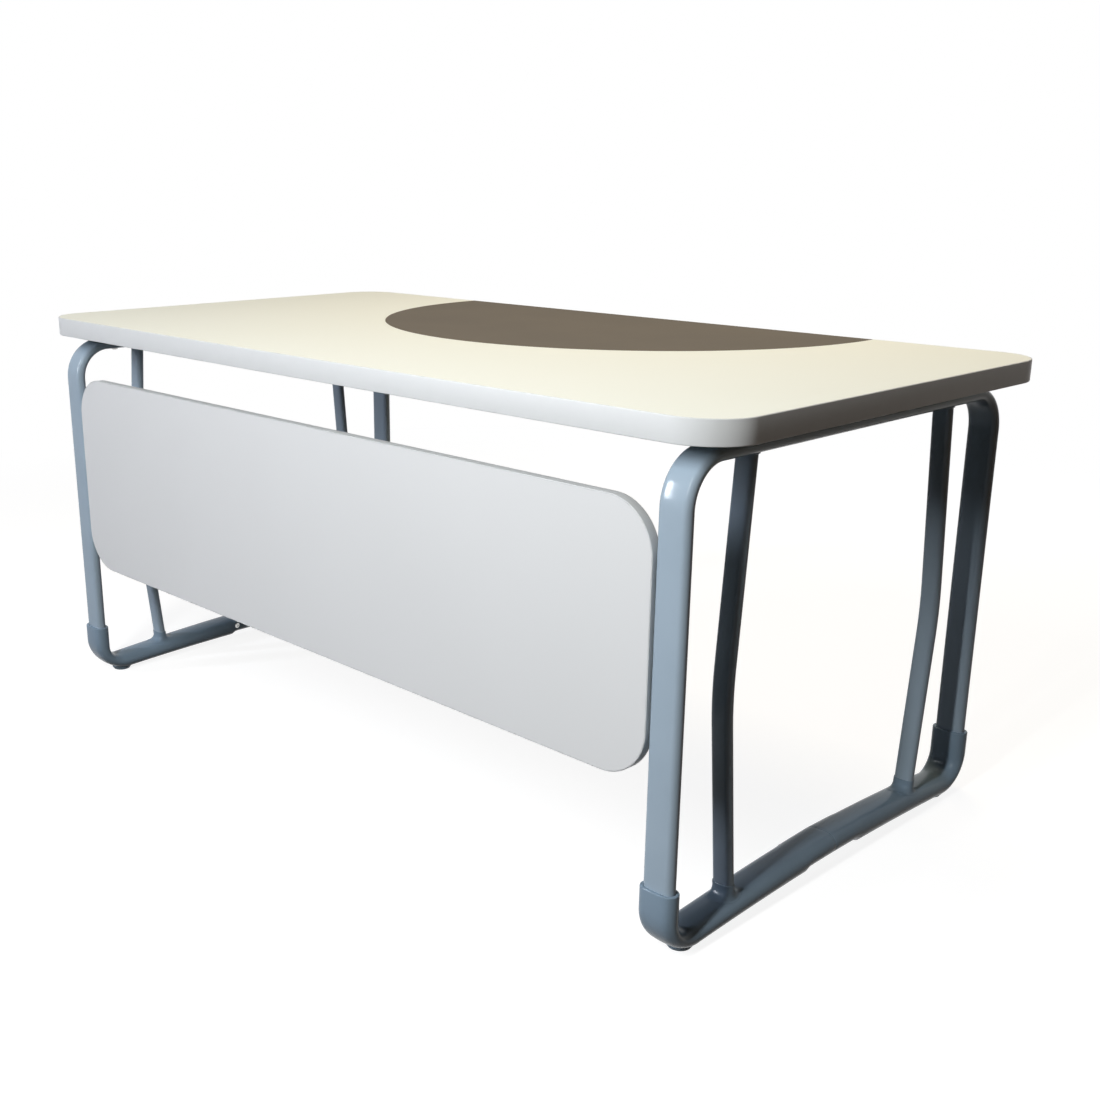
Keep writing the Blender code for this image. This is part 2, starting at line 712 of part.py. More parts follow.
def build_foot(name, parent, along, inner_side):
    """One foot; along points it to the front or the rear, inner_side to the desk's middle."""
    casting = casting_material(name + "_casting")
    facing = 0 if along < 0 else math.pi
    where = {"parent": parent, "tilt": turn_about_z(facing)}
    rings = sleeve_rings() + elbow_rings() + bar_rings()
    foot = skin(name + "_foot", rings, casting, **where)
    combine(foot, skin("collar", collar_rings(), casting, **where), "UNION")
    combine(foot, glide_boss(casting, parent, along), "UNION")
    cutters = [
        post_socket(casting, where),
        strut_socket(casting, where),
        joiner_bore(casting, where),
        glide_cutter(casting, parent, along),
        *joiner_screw_cutters(casting, parent, along, inner_side),
        *coring_cutters(casting, where),
    ]
    for cutter in cutters:
        combine(foot, cutter, "DIFFERENCE")


def build_joiner(name, parent, inner_side):
    """The oval tube that bridges the two feet, with a hole for each screw."""
    steel = steel_material(name + "_joiner_steel")
    ends = (-JOINER_LENGTH / 2, JOINER_LENGTH / 2)
    outside = [joiner_ring(offset, 0) for offset in ends]
    inside = [joiner_ring(offset, -JOINER_WALL) for offset in ends]
    joiner = skin(name + "_joiner", outside + inside[::-1], steel, hollow=True, parent=parent)
    radius = JOINER_SCREW_RADIUS + SCREW_CLEARANCE
    far = JOINER_WIDTH / 2 + CUT_OVERRUN
    for offset in (-JOINER_SCREW_OFFSET, JOINER_SCREW_OFFSET):
        place = (0, offset, joiner_height())
        where = {"parent": parent, "place": place, "tilt": turn_z_to_x(inner_side)}
        hole = round_bar("joiner_hole", radius, JOINER_WIDTH / 4, far, steel, **where)
        combine(joiner, hole, "DIFFERENCE")


def build_screw(name, head, shank, material, **where):
    """A screw along Z: a low domed head above its seat at 0, and a shank below it."""
    head_radius, head_height = head
    shank_radius, shank_length = shank
    profile = [
        (head_radius * HEAD_FLAT_SHARE, head_height),
        (head_radius, head_height * HEAD_EDGE_SHARE),
        (head_radius, 0),
        (shank_radius, 0),
        (shank_radius, -shank_length),
    ]
    revolve(name, profile, material, SCREW_STEPS, **where)


def build_joiner_screw(name, parent, along, inner_side):
    head = (JOINER_HEAD_RADIUS, JOINER_HEAD_HEIGHT)
    shank = (JOINER_SCREW_RADIUS, JOINER_SCREW_LENGTH)
    seat = spotface_x() + SEAT_GAP
    place = (inner_side * seat, along * JOINER_SCREW_OFFSET, joiner_height())
    where = {"parent": parent, "place": place, "tilt": turn_z_to_x(inner_side)}
    build_screw(name + "_joiner_screw", head, shank, steel_material(name + "_zinc"), **where)


def build_glide(name, parent, along):
    """The glide's base and stud, with their origin on the axis that they screw along, and bush."""
    where = {"parent": parent, "place": glide_place(along)}
    hole = STUD_RADIUS + SEAT_GAP
    base = [
        (GLIDE_RADIUS - GLIDE_BASE_ROUND, 0),
        (GLIDE_RADIUS, GLIDE_BASE_ROUND),
        (GLIDE_RADIUS, GLIDE_BASE_HEIGHT - GLIDE_BASE_ROUND),
        (GLIDE_RADIUS - GLIDE_BASE_ROUND, GLIDE_BASE_HEIGHT),
        (hole, GLIDE_BASE_HEIGHT),
        (hole, GLIDE_BASE_FLOOR),
    ]
    revolve(name + "_glide_base", base, nylon_material(name + "_nylon"), **where)
    low = GLIDE_BASE_FLOOR + SEAT_GAP
    stud_steel = steel_material(name + "_stud_steel")
    round_bar(name + "_glide_stud", STUD_RADIUS, low, low + STUD_LENGTH, stud_steel, **where)
    bore = STUD_RADIUS + RUNNING_GAP
    bush_low = GLIDE_SEAT_HEIGHT + SEAT_GAP
    bush_high = bush_low + BUSH_LENGTH
    bush = [(bore, bush_low), (BUSH_RADIUS, bush_low), (BUSH_RADIUS, bush_high), (bore, bush_high)]
    bush_steel = steel_material(name + "_bush_steel")
    revolve(name + "_glide_bush", bush, bush_steel, open_bore=True, **where)


def build_top_fixing(name, parent, offset):
    """A spacer on the top bar, and the long screw that holds the desktop down through it."""
    low = TOP_BAR_TOP + SEAT_GAP
    high = BOARD_BOTTOM - SEAT_GAP
    hole = TOP_SCREW_RADIUS + SCREW_CLEARANCE
    ring = [(hole, low), (SPACER_RADIUS, low), (SPACER_RADIUS, high), (hole, high)]
    nylon = nylon_material(name + "_spacer_nylon")
    place = (0, offset, 0)
    revolve(name + "_spacer", ring, nylon, open_bore=True, parent=parent, place=place)
    seat = TOP_BAR_BOTTOM - SEAT_GAP
    head = (TOP_HEAD_RADIUS, TOP_HEAD_HEIGHT)
    shank = (TOP_SCREW_RADIUS, BOARD_BOTTOM + TOP_SCREW_BITE - seat)
    where = {"parent": parent, "place": (0, offset, seat), "tilt": (math.pi, 0, 0)}
    build_screw(name + "_top_screw", head, shank, steel_material(name + "_top_zinc"), **where)


def panel_outline(inset):
    middle = (PANEL_TOP_HEIGHT + PANEL_BOTTOM_HEIGHT) / 2
    half_height = (PANEL_TOP_HEIGHT - PANEL_BOTTOM_HEIGHT) / 2 - inset
    radius = PANEL_CORNER_RADIUS - inset
    corners = outline_corners(PANEL_HALF_WIDTH - inset, half_height, radius)
    return [(x, middle + z) for x, z in corners]


def build_panel():
    """The board with its pilot holes, and the edge band round it."""
    core = panel_material("panel")
    inset = PANEL_BAND_THICKNESS + SEAT_GAP
    faces = (PANEL_FRONT_Y, PANEL_BACK_Y)
    panel = skin("modesty_panel", [[(x, y, z) for x, z in panel_outline(inset)] for y in faces], core)
    section = band_section(PANEL_BAND_THICKNESS, PANEL_BAND_ROUND, *faces)
    band = [[(x, y, z) for x, z in panel_outline(inset)] for inset, y in section]
    skin("panel_edge_band", band, edging_material("panel_edging"), hollow=True)
    radius = STRAP_SCREW_RADIUS + SCREW_CLEARANCE
    floor = PANEL_BACK_Y - STRAP_SCREW_BITE - SEAT_GAP
    mouth = PANEL_BACK_Y + CUT_OVERRUN
    for side in (-1, 1):
        for height in STRAP_HEIGHTS:
            where = {"place": (side * PANEL_SCREW_X, 0, height), "tilt": turn_z_to_y()}
            pilot = round_bar("panel_pilot", radius, floor, mouth, core, **where)
            combine(panel, pilot, "DIFFERENCE")


def strap_outline(panel_y, post_y):
    """The joggled strip seen from above, for the right side, as (x, y)."""
    post_edge = LEG_X - STRAP_POST_LENGTH / 2
    near = [
        (PANEL_HALF_WIDTH - STRAP_PANEL_LENGTH, panel_y),
        (post_edge - STRAP_JOGGLE_LENGTH, panel_y),
        (post_edge, post_y),
        (LEG_X + STRAP_POST_LENGTH / 2, post_y),
    ]
    return near + [(x, y + STRAP_THICKNESS) for x, y in reversed(near)]


def build_strap(name, side, height):
    """A strap from the post's rear face to the panel's back, and its two screws."""
    paint = paint_material(name + "_strap_paint")
    zinc = steel_material(name + "_strap_zinc")
    post_y = FRONT_POST_Y + HOOP_DEPTH / 2 + SEAT_GAP
    panel_y = PANEL_BACK_Y + SEAT_GAP
    outline = strap_outline(panel_y, post_y)
    levels = (height - STRAP_HEIGHT / 2, height + STRAP_HEIGHT / 2)
    strap = skin(name + "_strap", [[(side * x, y, z) for x, y in outline] for z in levels], paint)
    radius = STRAP_SCREW_RADIUS + SCREW_CLEARANCE
    head = (STRAP_HEAD_RADIUS, STRAP_HEAD_HEIGHT)
    shank = (STRAP_SCREW_RADIUS, STRAP_SCREW_BITE + STRAP_THICKNESS)
    for label, x, y in (("panel", PANEL_SCREW_X, panel_y), ("post", LEG_X, post_y)):
        near = y - CUT_OVERRUN
        far = y + STRAP_THICKNESS + CUT_OVERRUN
        where = {"place": (side * x, 0, height), "tilt": turn_z_to_y()}
        combine(strap, round_bar("strap_hole", radius, near, far, paint, **where), "DIFFERENCE")
        where["place"] = (side * x, y + STRAP_THICKNESS + SEAT_GAP, height)
        build_screw(f"{name}_{label}_screw", head, shank, zinc, **where)


def build_leg(side, name):
    """One leg frame, parented to an empty on the floor under its middle."""
    frame = bpy.data.objects.new(name + "_leg_frame", None)
    frame.location = (side * LEG_X, LEG_Y, 0)
    bpy.context.scene.collection.objects.link(frame)
    build_hoop(name, frame)
    build_joiner(name, frame, -side)
    for end, along in (("front", -1), ("rear", 1)):
        label = f"{name}_{end}"
        facing = 0 if along < 0 else math.pi
        build_strut(label, parent=frame, tilt=turn_about_z(facing))
        build_foot(label, frame, along, -side)
        build_joiner_screw(label, frame, along, -side)
        build_glide(label, frame, along)
    for end, offset in zip(("front", "middle", "rear"), TOP_SCREW_OFFSETS):
        build_top_fixing(f"{name}_{end}", frame, offset)


def build_desk():
    build_desktop()
    for side, name in ((-1, "left"), (1, "right")):
        build_leg(side, name)
        for level, height in zip(("lower", "upper"), STRAP_HEIGHTS):
            build_strap(f"{name}_{level}", side, height)
    build_panel()


clear_scene()
build_desk()
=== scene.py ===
import math

import bmesh
import bpy
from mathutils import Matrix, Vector


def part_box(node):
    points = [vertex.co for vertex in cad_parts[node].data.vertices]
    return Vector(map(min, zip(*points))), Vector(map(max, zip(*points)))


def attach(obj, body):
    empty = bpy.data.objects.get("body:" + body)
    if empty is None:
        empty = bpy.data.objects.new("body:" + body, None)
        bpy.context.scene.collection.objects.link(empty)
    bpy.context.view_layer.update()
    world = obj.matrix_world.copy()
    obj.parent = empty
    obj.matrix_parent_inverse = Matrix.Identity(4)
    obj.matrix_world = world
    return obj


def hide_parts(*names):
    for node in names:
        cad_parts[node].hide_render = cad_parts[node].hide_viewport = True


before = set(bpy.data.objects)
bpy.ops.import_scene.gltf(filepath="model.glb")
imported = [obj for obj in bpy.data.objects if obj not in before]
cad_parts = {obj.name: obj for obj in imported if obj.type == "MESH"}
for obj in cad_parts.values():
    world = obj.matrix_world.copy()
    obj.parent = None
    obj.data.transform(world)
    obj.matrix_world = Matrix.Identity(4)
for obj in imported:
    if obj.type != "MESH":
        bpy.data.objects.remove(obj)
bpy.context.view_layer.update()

# Leg hoops: flat-oval steel tube, bent in one piece into two posts and a top bar, then
# powder coated in blue-grey. The bends are long and even, because the tube is mandrel bent.
LEGS = (("left", -1), ("right", 1))
SEAT_GAP = 0.0003
hoop_low, hoop_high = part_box("left_hoop")
LEG_X = -(hoop_low.x + hoop_high.x) / 2
LEG_Y = (hoop_low.y + hoop_high.y) / 2
TUBE_HALF_WIDTH = (hoop_high.x - hoop_low.x) / 2
TUBE_HALF_DEPTH = 0.010
HOOP_BEND_RADIUS = 0.062
POST_OFFSET = (hoop_high.y - hoop_low.y) / 2 - TUBE_HALF_DEPTH
TOP_BAR_HEIGHT = hoop_high.z - TUBE_HALF_DEPTH
HOOP_BEND_STEPS = 28
OVAL_STEPS = 14
FACE_CROWN = 0.0005
FACE_STEPS = 8
SHARP_ANGLE = math.radians(38)


def colour(code):
    """A hex sRGB colour as linear RGBA."""
    parts = [int(code[i : i + 2], 16) / 255 for i in (1, 3, 5)]
    linear = [c / 12.92 if c <= 0.04045 else ((c + 0.055) / 1.055) ** 2.4 for c in parts]
    return (*linear, 1.0)


def per_mm(size):
    """The texture scale, in a piece's own metres, that makes one cell as long as a size in mm."""
    return 1000 / size


def add_node(tree, kind, inputs=None, **settings):
    """Adds a node, sets its properties, and sets or links its inputs by name or number."""
    node = tree.nodes.new(kind)
    for key, value in settings.items():
        setattr(node, key, value)
    for key, value in (inputs or {}).items():
        if isinstance(value, bpy.types.NodeSocket):
            tree.links.new(value, node.inputs[key])
        else:
            node.inputs[key].default_value = value
    return node


def new_material(name, **values):
    """A Principled material with the values that are the same all over it."""
    material = bpy.data.materials.new(name)
    material.use_nodes = True
    shader = material.node_tree.nodes["Principled BSDF"]
    for key, value in values.items():
        shader.inputs[key.replace("_", " ")].default_value = value
    return material, material.node_tree, shader


def powder_coat():
    """Polyester powder coat, sprayed and oven cured: semi-gloss, with an orange peel of about
    2 mm. That is too fine for the render, so it is drawn three times as coarse and very low."""
    material, tree, shader = new_material("powder_coat_blue_grey", IOR=1.5, Specular_IOR_Level=0.08)
    place = add_node(tree, "ShaderNodeTexCoord").outputs["Object"]
    peel = add_node(tree, "ShaderNodeTexNoise", {"Vector": place, "Scale": per_mm(6), "Detail": 2.0})
    cloud = add_node(tree, "ShaderNodeTexNoise", {"Vector": place, "Scale": per_mm(90), "Detail": 3.0})
    tints = {0: cloud.outputs[0], 6: colour("#99AAB9"), 7: colour("#A4B4C2")}
    tint = add_node(tree, "ShaderNodeMix", tints, data_type="RGBA")
    sheen = add_node(tree, "ShaderNodeMapRange", {0: cloud.outputs[0], "To Min": 0.15, "To Max": 0.20})
    relief = {"Height": peel.outputs[0], "Strength": 0.12, "Distance": 0.0004}
    bump = add_node(tree, "ShaderNodeBump", relief)
    tree.links.new(tint.outputs[2], shader.inputs["Base Color"])
    tree.links.new(sheen.outputs[0], shader.inputs["Roughness"])
    tree.links.new(bump.outputs[0], shader.inputs["Normal"])
    return material


def quarter_turn(steps):
    """Angles from 0 to a right angle in even steps."""
    return [math.pi / 2 * i / steps for i in range(steps + 1)]


def oval(half_width, half_depth, end_reach=None):
    """Points (across, deep) of a flat oval whose faces are slightly crowned; end_reach
    stretches its round ends."""
    reach = half_depth if end_reach is None else end_reach
    flat = half_width - reach
    end_depth = half_depth - FACE_CROWN
    points = []
    for side in (1, -1):
        for i in range(OVAL_STEPS + 1):
            angle = math.pi * i / OVAL_STEPS - math.pi / 2
            across = flat + reach * math.cos(angle)
            points.append((side * across, side * end_depth * math.sin(angle)))
        for i in range(1, FACE_STEPS):
            share = 1 - 2 * i / FACE_STEPS
            depth = half_depth - FACE_CROWN * share * share
            points.append((side * flat * share, side * depth))
    return points


def oval_ring(centre, deep, half_width, half_depth, end_reach=None):
    """A flat oval round a centre, wide along X and deep along a direction."""
    return [
        centre + Vector((across, 0, 0)) + depth * deep
        for across, depth in oval(half_width, half_depth, end_reach)
    ]


def shade(mesh):
    """Shades a mesh smooth but for its sharp edges."""
    mesh.shade_smooth()
    mesh.set_sharp_from_angle(angle=SHARP_ANGLE)


def new_piece(name, mesh, material):
    """Links a mesh as a piece."""
    piece = bpy.data.objects.new(name, mesh)
    if not mesh.materials:
        mesh.materials.append(material)
    shade(mesh)
    bpy.context.scene.collection.objects.link(piece)
    return piece


def piece_from(name, body, material):
    """Makes a piece of a bmesh and frees it."""
    mesh = bpy.data.meshes.new(name)
    body.to_mesh(mesh)
    body.free()
    return new_piece(name, mesh, material)


def loft(name, rings, material, joined=False):
    """A skin over rings of equal length, capped at both ends or joined end to start."""
    body = bmesh.new()
    loops = [[body.verts.new(point) for point in ring] for ring in rings]
    pairs = list(zip(loops, loops[1:]))
    if joined:
        pairs.append((loops[-1], loops[0]))
    count = len(loops[0])
    for lower, upper in pairs:
        for i in range(count):
            j = (i + 1) % count
            body.faces.new((lower[i], lower[j], upper[j], upper[i]))
    if not joined:
        body.faces.new(reversed(loops[0]))
        body.faces.new(loops[-1])
    bmesh.ops.recalc_face_normals(body, faces=body.faces)
    return piece_from(name, body, material)


def install(piece, node, body="desk"):
    """Makes a piece stand for a node of the frame and move with its body."""
    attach(piece, body)
    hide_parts(node)


def hoop_rings():
    """Ovals up the front post, over the top bar and down the rear post."""
    rings = []
    bend_centre = POST_OFFSET - HOOP_BEND_RADIUS
    bend_base = TOP_BAR_HEIGHT - HOOP_BEND_RADIUS
    path = [(-POST_OFFSET, hoop_low.z, 0)]
    for turn in quarter_turn(HOOP_BEND_STEPS):
        along = -bend_centre - HOOP_BEND_RADIUS * math.cos(turn)
        path.append((along, bend_base + HOOP_BEND_RADIUS * math.sin(turn), turn))
    path += [(-along, height, math.pi - turn) for along, height, turn in reversed(path)]
    for along, height, turn in path:
        outward = Vector((0, -math.cos(turn), math.sin(turn)))
        centre = Vector((0, along, height))
        rings.append(oval_ring(centre, outward, TUBE_HALF_WIDTH, TUBE_HALF_DEPTH))
    return rings


paint = powder_coat()
left_hoop = loft("left_hoop_tube", hoop_rings(), paint)
right_hoop = new_piece("right_hoop_tube", left_hoop.data, paint)
for (side, way), hoop in zip(LEGS, (left_hoop, right_hoop)):
    hoop.location = (way * LEG_X, LEG_Y, 0)
    install(hoop, f"{side}_hoop")

# Feet: aluminium castings with the same coat. Each is a sleeve for the post, an elbow and half
# of the arched foot bar; a collar takes the strut, and a boss underneath takes the glide.
foot_low, foot_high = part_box("left_front_foot")
strut_low, strut_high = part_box("left_front_strut")
SLEEVE_HEIGHT = foot_high.z
SLEEVE_HALF_WIDTH = (foot_high.x - foot_low.x) / 2
SLEEVE_HALF_DEPTH = LEG_Y - POST_OFFSET - foot_low.y
SLEEVE_RIM_ROUND = 0.0015
SLEEVE_RIM_STEPS = 5
SOCKET_RIM_ROUND = 0.0006
SOCKET_RIM_STEPS = 4
SOCKET_FLOOR = hoop_low.z - SEAT_GAP
ELBOW_OUTER_REACH = 0.072
ELBOW_OUTER_RISE = 0.068
ELBOW_INNER_REACH = 0.026
ELBOW_INNER_RISE = 0.024
BAR_HALF_WIDTH = 0.0285
BAR_SIDE_ROUND = 0.020
BAR_DEPTH_AT_ELBOW = 0.031
BAR_DEPTH_AT_MIDDLE = 0.040
BAR_END_OFFSET = POST_OFFSET + SLEEVE_HALF_DEPTH - ELBOW_OUTER_REACH
FOOT_CLEARANCE = 0.0042
UNDERSIDE_RISE = 0.0085
NECK_LENGTH = 0.073
NECK_STEP = 0.005
NECK_STEP_LENGTH = 0.010
BAR_END_ROUND = 0.0006
BAR_END_STEPS = 3
ELBOW_STEPS = 36
BAR_RINGS = 40
STRUT_HALF_WIDTH = (strut_high.x - strut_low.x) / 2
STRUT_HALF_DEPTH = 0.0085
STRUT_TOP_OFFSET = 0.245
STRUT_KNEE_OFFSET = 0.268
STRUT_FOOT_OFFSET = 0.239
STRUT_KNEE_HEIGHT = 0.337
STRUT_FOOT_HEIGHT = 0.045
STRUT_BEND_RADIUS = 0.5
COLLAR_HEIGHT = 0.017
COLLAR_PIT_DEPTH = COLLAR_HEIGHT / 2
COLLAR_WALL = 0.0009
COLLAR_FLARE_ALONG = 0.016
COLLAR_FLARE_ACROSS = 0.005
COLLAR_RIM_ROUND = 0.0008
COLLAR_RIM_STEPS = 4
COLLAR_WALL_SHARE = 0.35
COLLAR_STEPS = 12
SKIRT_END_SHARE = 0.8
SKIRT_SINK = 0.004
GLIDE_OFFSET = 0.333
GLIDE_SEAT_RADIUS = 0.0169
GLIDE_SEAT_HEIGHT = 0.0063
GLIDE_BORE_RADIUS = 0.0073
GLIDE_BORE_DEPTH = 0.013
BOSS_RADIUS = 0.0189
BOSS_ROUND = 0.0005
BOSS_LOW = 0.0037
SCREW_OFFSET = 0.064
SPOTFACE_RADIUS = 0.0059
SPOTFACE_DEPTH = 0.0025
SCREW_HOLE_RADIUS = 0.0034
SCREW_HOLE_DEPTH = 0.010
CORING_WIDTH = 0.030
CORING_DEPTH = 0.009
CORING_START = 0.100
CORING_END = 0.205
CORING_RIB = 0.004
CUT_OVERRUN = 0.004
TURNED_SEGMENTS = 48


def coated_casting():
    """The same coat on sand-cast aluminium: the cast skin underneath, with a grain of about
    1 mm drawn as 4 mm, breaks the gloss up and leaves it duller than the tube."""
    values = {"Roughness": 0.24, "IOR": 1.5, "Specular_IOR_Level": 0.1}
    material, tree, shader = new_material("powder_coat_on_casting", **values)
    place = add_node(tree, "ShaderNodeTexCoord").outputs["Object"]
    grain = add_node(tree, "ShaderNodeTexNoise", {"Vector": place, "Scale": per_mm(4), "Detail": 4.0})
    cloud = add_node(tree, "ShaderNodeTexNoise", {"Vector": place, "Scale": per_mm(60), "Detail": 3.0})
    tints = {0: cloud.outputs[0], 6: colour("#798C9D"), 7: colour("#8497A8")}
    tint = add_node(tree, "ShaderNodeMix", tints, data_type="RGBA")
    relief = {"Height": grain.outputs[0], "Strength": 0.25, "Distance": 0.0004}
    bump = add_node(tree, "ShaderNodeBump", relief)
    tree.links.new(tint.outputs[2], shader.inputs["Base Color"])
    tree.links.new(bump.outputs[0], shader.inputs["Normal"])
    return material


def smoothstep(share):
    """Goes from 0 to 1 with a soft start and end."""
    held = min(max(share, 0), 1)
    return held * held * (3 - 2 * held)


def bar_arch(offset):
    share = offset / BAR_END_OFFSET
    return FOOT_CLEARANCE + UNDERSIDE_RISE * (1 - share * share)


def bar_low(offset):
    """Height of the bar's underside at a distance from the middle of the leg."""
    return bar_arch(offset) + NECK_STEP * smoothstep((NECK_LENGTH - offset) / NECK_STEP_LENGTH)


def bar_high(offset):
    """Height of the bar's top, which rises towards the middle of the leg."""
    share = offset / BAR_END_OFFSET
    taper = (BAR_DEPTH_AT_ELBOW - BAR_DEPTH_AT_MIDDLE) * share
    return bar_arch(offset) + BAR_DEPTH_AT_MIDDLE + taper


def foot_ring(inner, outer, half_width, end_reach, shrink=0.0):
    """A ring of the foot between a point on its inner line and one on its outer line."""
    deep = (outer - inner).normalized()
    half_depth = (outer - inner).length / 2 - shrink
    return oval_ring((inner + outer) / 2, deep, half_width - shrink, half_depth, end_reach)


def sleeve_rings():
    """The socket's wall from its floor up, over the rounded rim and down the outside."""
    outward = Vector((0, -1, 0))
    post = Vector((0, -POST_OFFSET, 0))
    rings = []

    def add(height, grow, width=TUBE_HALF_WIDTH + SEAT_GAP, depth=TUBE_HALF_DEPTH + SEAT_GAP):
        centre = post + Vector((0, 0, height))
        rings.append(oval_ring(centre, outward, width + grow, depth + grow))

    add(SOCKET_FLOOR, 0)
    for turn in quarter_turn(SOCKET_RIM_STEPS):
        lift = SOCKET_RIM_ROUND * (1 - math.sin(turn))
        add(SLEEVE_HEIGHT - lift, SOCKET_RIM_ROUND * (1 - math.cos(turn)))
    for turn in quarter_turn(SLEEVE_RIM_STEPS):
        drop = SLEEVE_RIM_ROUND * (1 - math.cos(turn))
        grow = -SLEEVE_RIM_ROUND * (1 - math.sin(turn))
        add(SLEEVE_HEIGHT - drop, grow, SLEEVE_HALF_WIDTH, SLEEVE_HALF_DEPTH)
    return rings


def elbow_rings():
    """The elbow, whose inner and outer lines are quarter ellipses of their own."""
    rings = []
    bar_inner = POST_OFFSET - SLEEVE_HALF_DEPTH - ELBOW_INNER_REACH
    inner_top = bar_high(bar_inner) + ELBOW_INNER_RISE
    outer_top = FOOT_CLEARANCE + ELBOW_OUTER_RISE
    for i, turn in enumerate(quarter_turn(ELBOW_STEPS)):
        outer_y = -BAR_END_OFFSET - ELBOW_OUTER_REACH * math.cos(turn)
        inner_y = -bar_inner - ELBOW_INNER_REACH * math.cos(turn)
        outer = Vector((0, outer_y, outer_top - ELBOW_OUTER_RISE * math.sin(turn)))
        inner = Vector((0, inner_y, inner_top - ELBOW_INNER_RISE * math.sin(turn)))
        share = smoothstep(i / ELBOW_STEPS)
        half_width = SLEEVE_HALF_WIDTH + (BAR_HALF_WIDTH - SLEEVE_HALF_WIDTH) * share
        end_reach = SLEEVE_HALF_DEPTH + (BAR_SIDE_ROUND - SLEEVE_HALF_DEPTH) * share
        rings.append(foot_ring(inner, outer, half_width, end_reach))
    return rings


def bar_rings():
    """The arched half bar, its neck and the rounded edge where it meets the other foot."""
    rings = []
    end = SEAT_GAP / 2
    run = BAR_END_OFFSET - end
    stations = [(BAR_END_OFFSET - run * i / BAR_RINGS, 0) for i in range(1, BAR_RINGS)]
    for turn in quarter_turn(BAR_END_STEPS):
        back = BAR_END_ROUND * (1 - math.sin(turn))
        stations.append((end + back, BAR_END_ROUND * (1 - math.cos(turn))))
    for offset, shrink in stations:
        inner = Vector((0, -offset, bar_high(offset)))
        outer = Vector((0, -offset, bar_low(offset)))
        rings.append(foot_ring(inner, outer, BAR_HALF_WIDTH, BAR_SIDE_ROUND, shrink))
    return rings


def circle(radius, height, segments=TURNED_SEGMENTS, shape=None):
    """Points round Z at a height; shape gives the share of the radius at each angle."""
    points = []
    for i in range(segments):
        angle = 2 * math.pi * i / segments
        reach = radius * (shape(angle) if shape else 1)
        points.append(Vector((reach * math.cos(angle), reach * math.sin(angle), height)))
    return points


def turned(name, profile, material):
    """A piece turned round Z from (radius, height) points and capped at both ends."""
    return loft(name, [circle(radius, height) for radius, height in profile], material)


def cut(piece, cutter):
    """Cuts one piece by another with an exact Boolean."""
    modifier = piece.modifiers.new(cutter.name, "BOOLEAN")
    modifier.operation = "DIFFERENCE"
    modifier.solver = "EXACT"
    modifier.object = cutter


def settle(piece):
    """Applies a piece's Booleans and removes the cutters."""
    view = bpy.context.evaluated_depsgraph_get()
    result = bpy.data.meshes.new_from_object(piece.evaluated_get(view))
    cutters = [modifier.object for modifier in piece.modifiers]
    piece.modifiers.clear()
    piece.data = result
    for cutter in cutters:
        bpy.data.objects.remove(cutter)
    shade(result)


def merge(piece, extra):
    """Adds another piece's mesh, moved to where it stands, to a piece."""
    body = bmesh.new()
    body.from_mesh(piece.data)
    bpy.context.view_layer.update()
    moved = extra.data.copy()
    moved.transform(extra.matrix_world)
    body.from_mesh(moved)
    body.to_mesh(piece.data)
    body.free()
    bpy.data.meshes.remove(moved)
    bpy.data.objects.remove(extra)


def strut_offset(height):
    """How far the strut's middle lies from the middle of the leg at a height."""
    foot_slope = (STRUT_KNEE_OFFSET - STRUT_FOOT_OFFSET) / (STRUT_KNEE_HEIGHT - STRUT_FOOT_HEIGHT)
    top_run = TOP_BAR_HEIGHT - TUBE_HALF_DEPTH - STRUT_KNEE_HEIGHT
    top_slope = (STRUT_KNEE_OFFSET - STRUT_TOP_OFFSET) / top_run
    tangent = STRUT_BEND_RADIUS * (foot_slope + top_slope) / 2
    rise = height - STRUT_KNEE_HEIGHT
    straight = STRUT_KNEE_OFFSET + (foot_slope * rise if rise < 0 else -top_slope * rise)
    if abs(rise) >= tangent:
        return straight
    return straight - (tangent - abs(rise)) ** 2 / (2 * STRUT_BEND_RADIUS)


def bar_surface(across, offset):
    """Height of the bar's top at a point, which falls away over its rounded sides."""
    low, high = bar_low(offset), bar_high(offset)
    beyond = max(abs(across) - (BAR_HALF_WIDTH - BAR_SIDE_ROUND), 0) / BAR_SIDE_ROUND
    return (low + high) / 2 + (high - low) / 2 * math.sqrt(max(1 - beyond * beyond, 0))


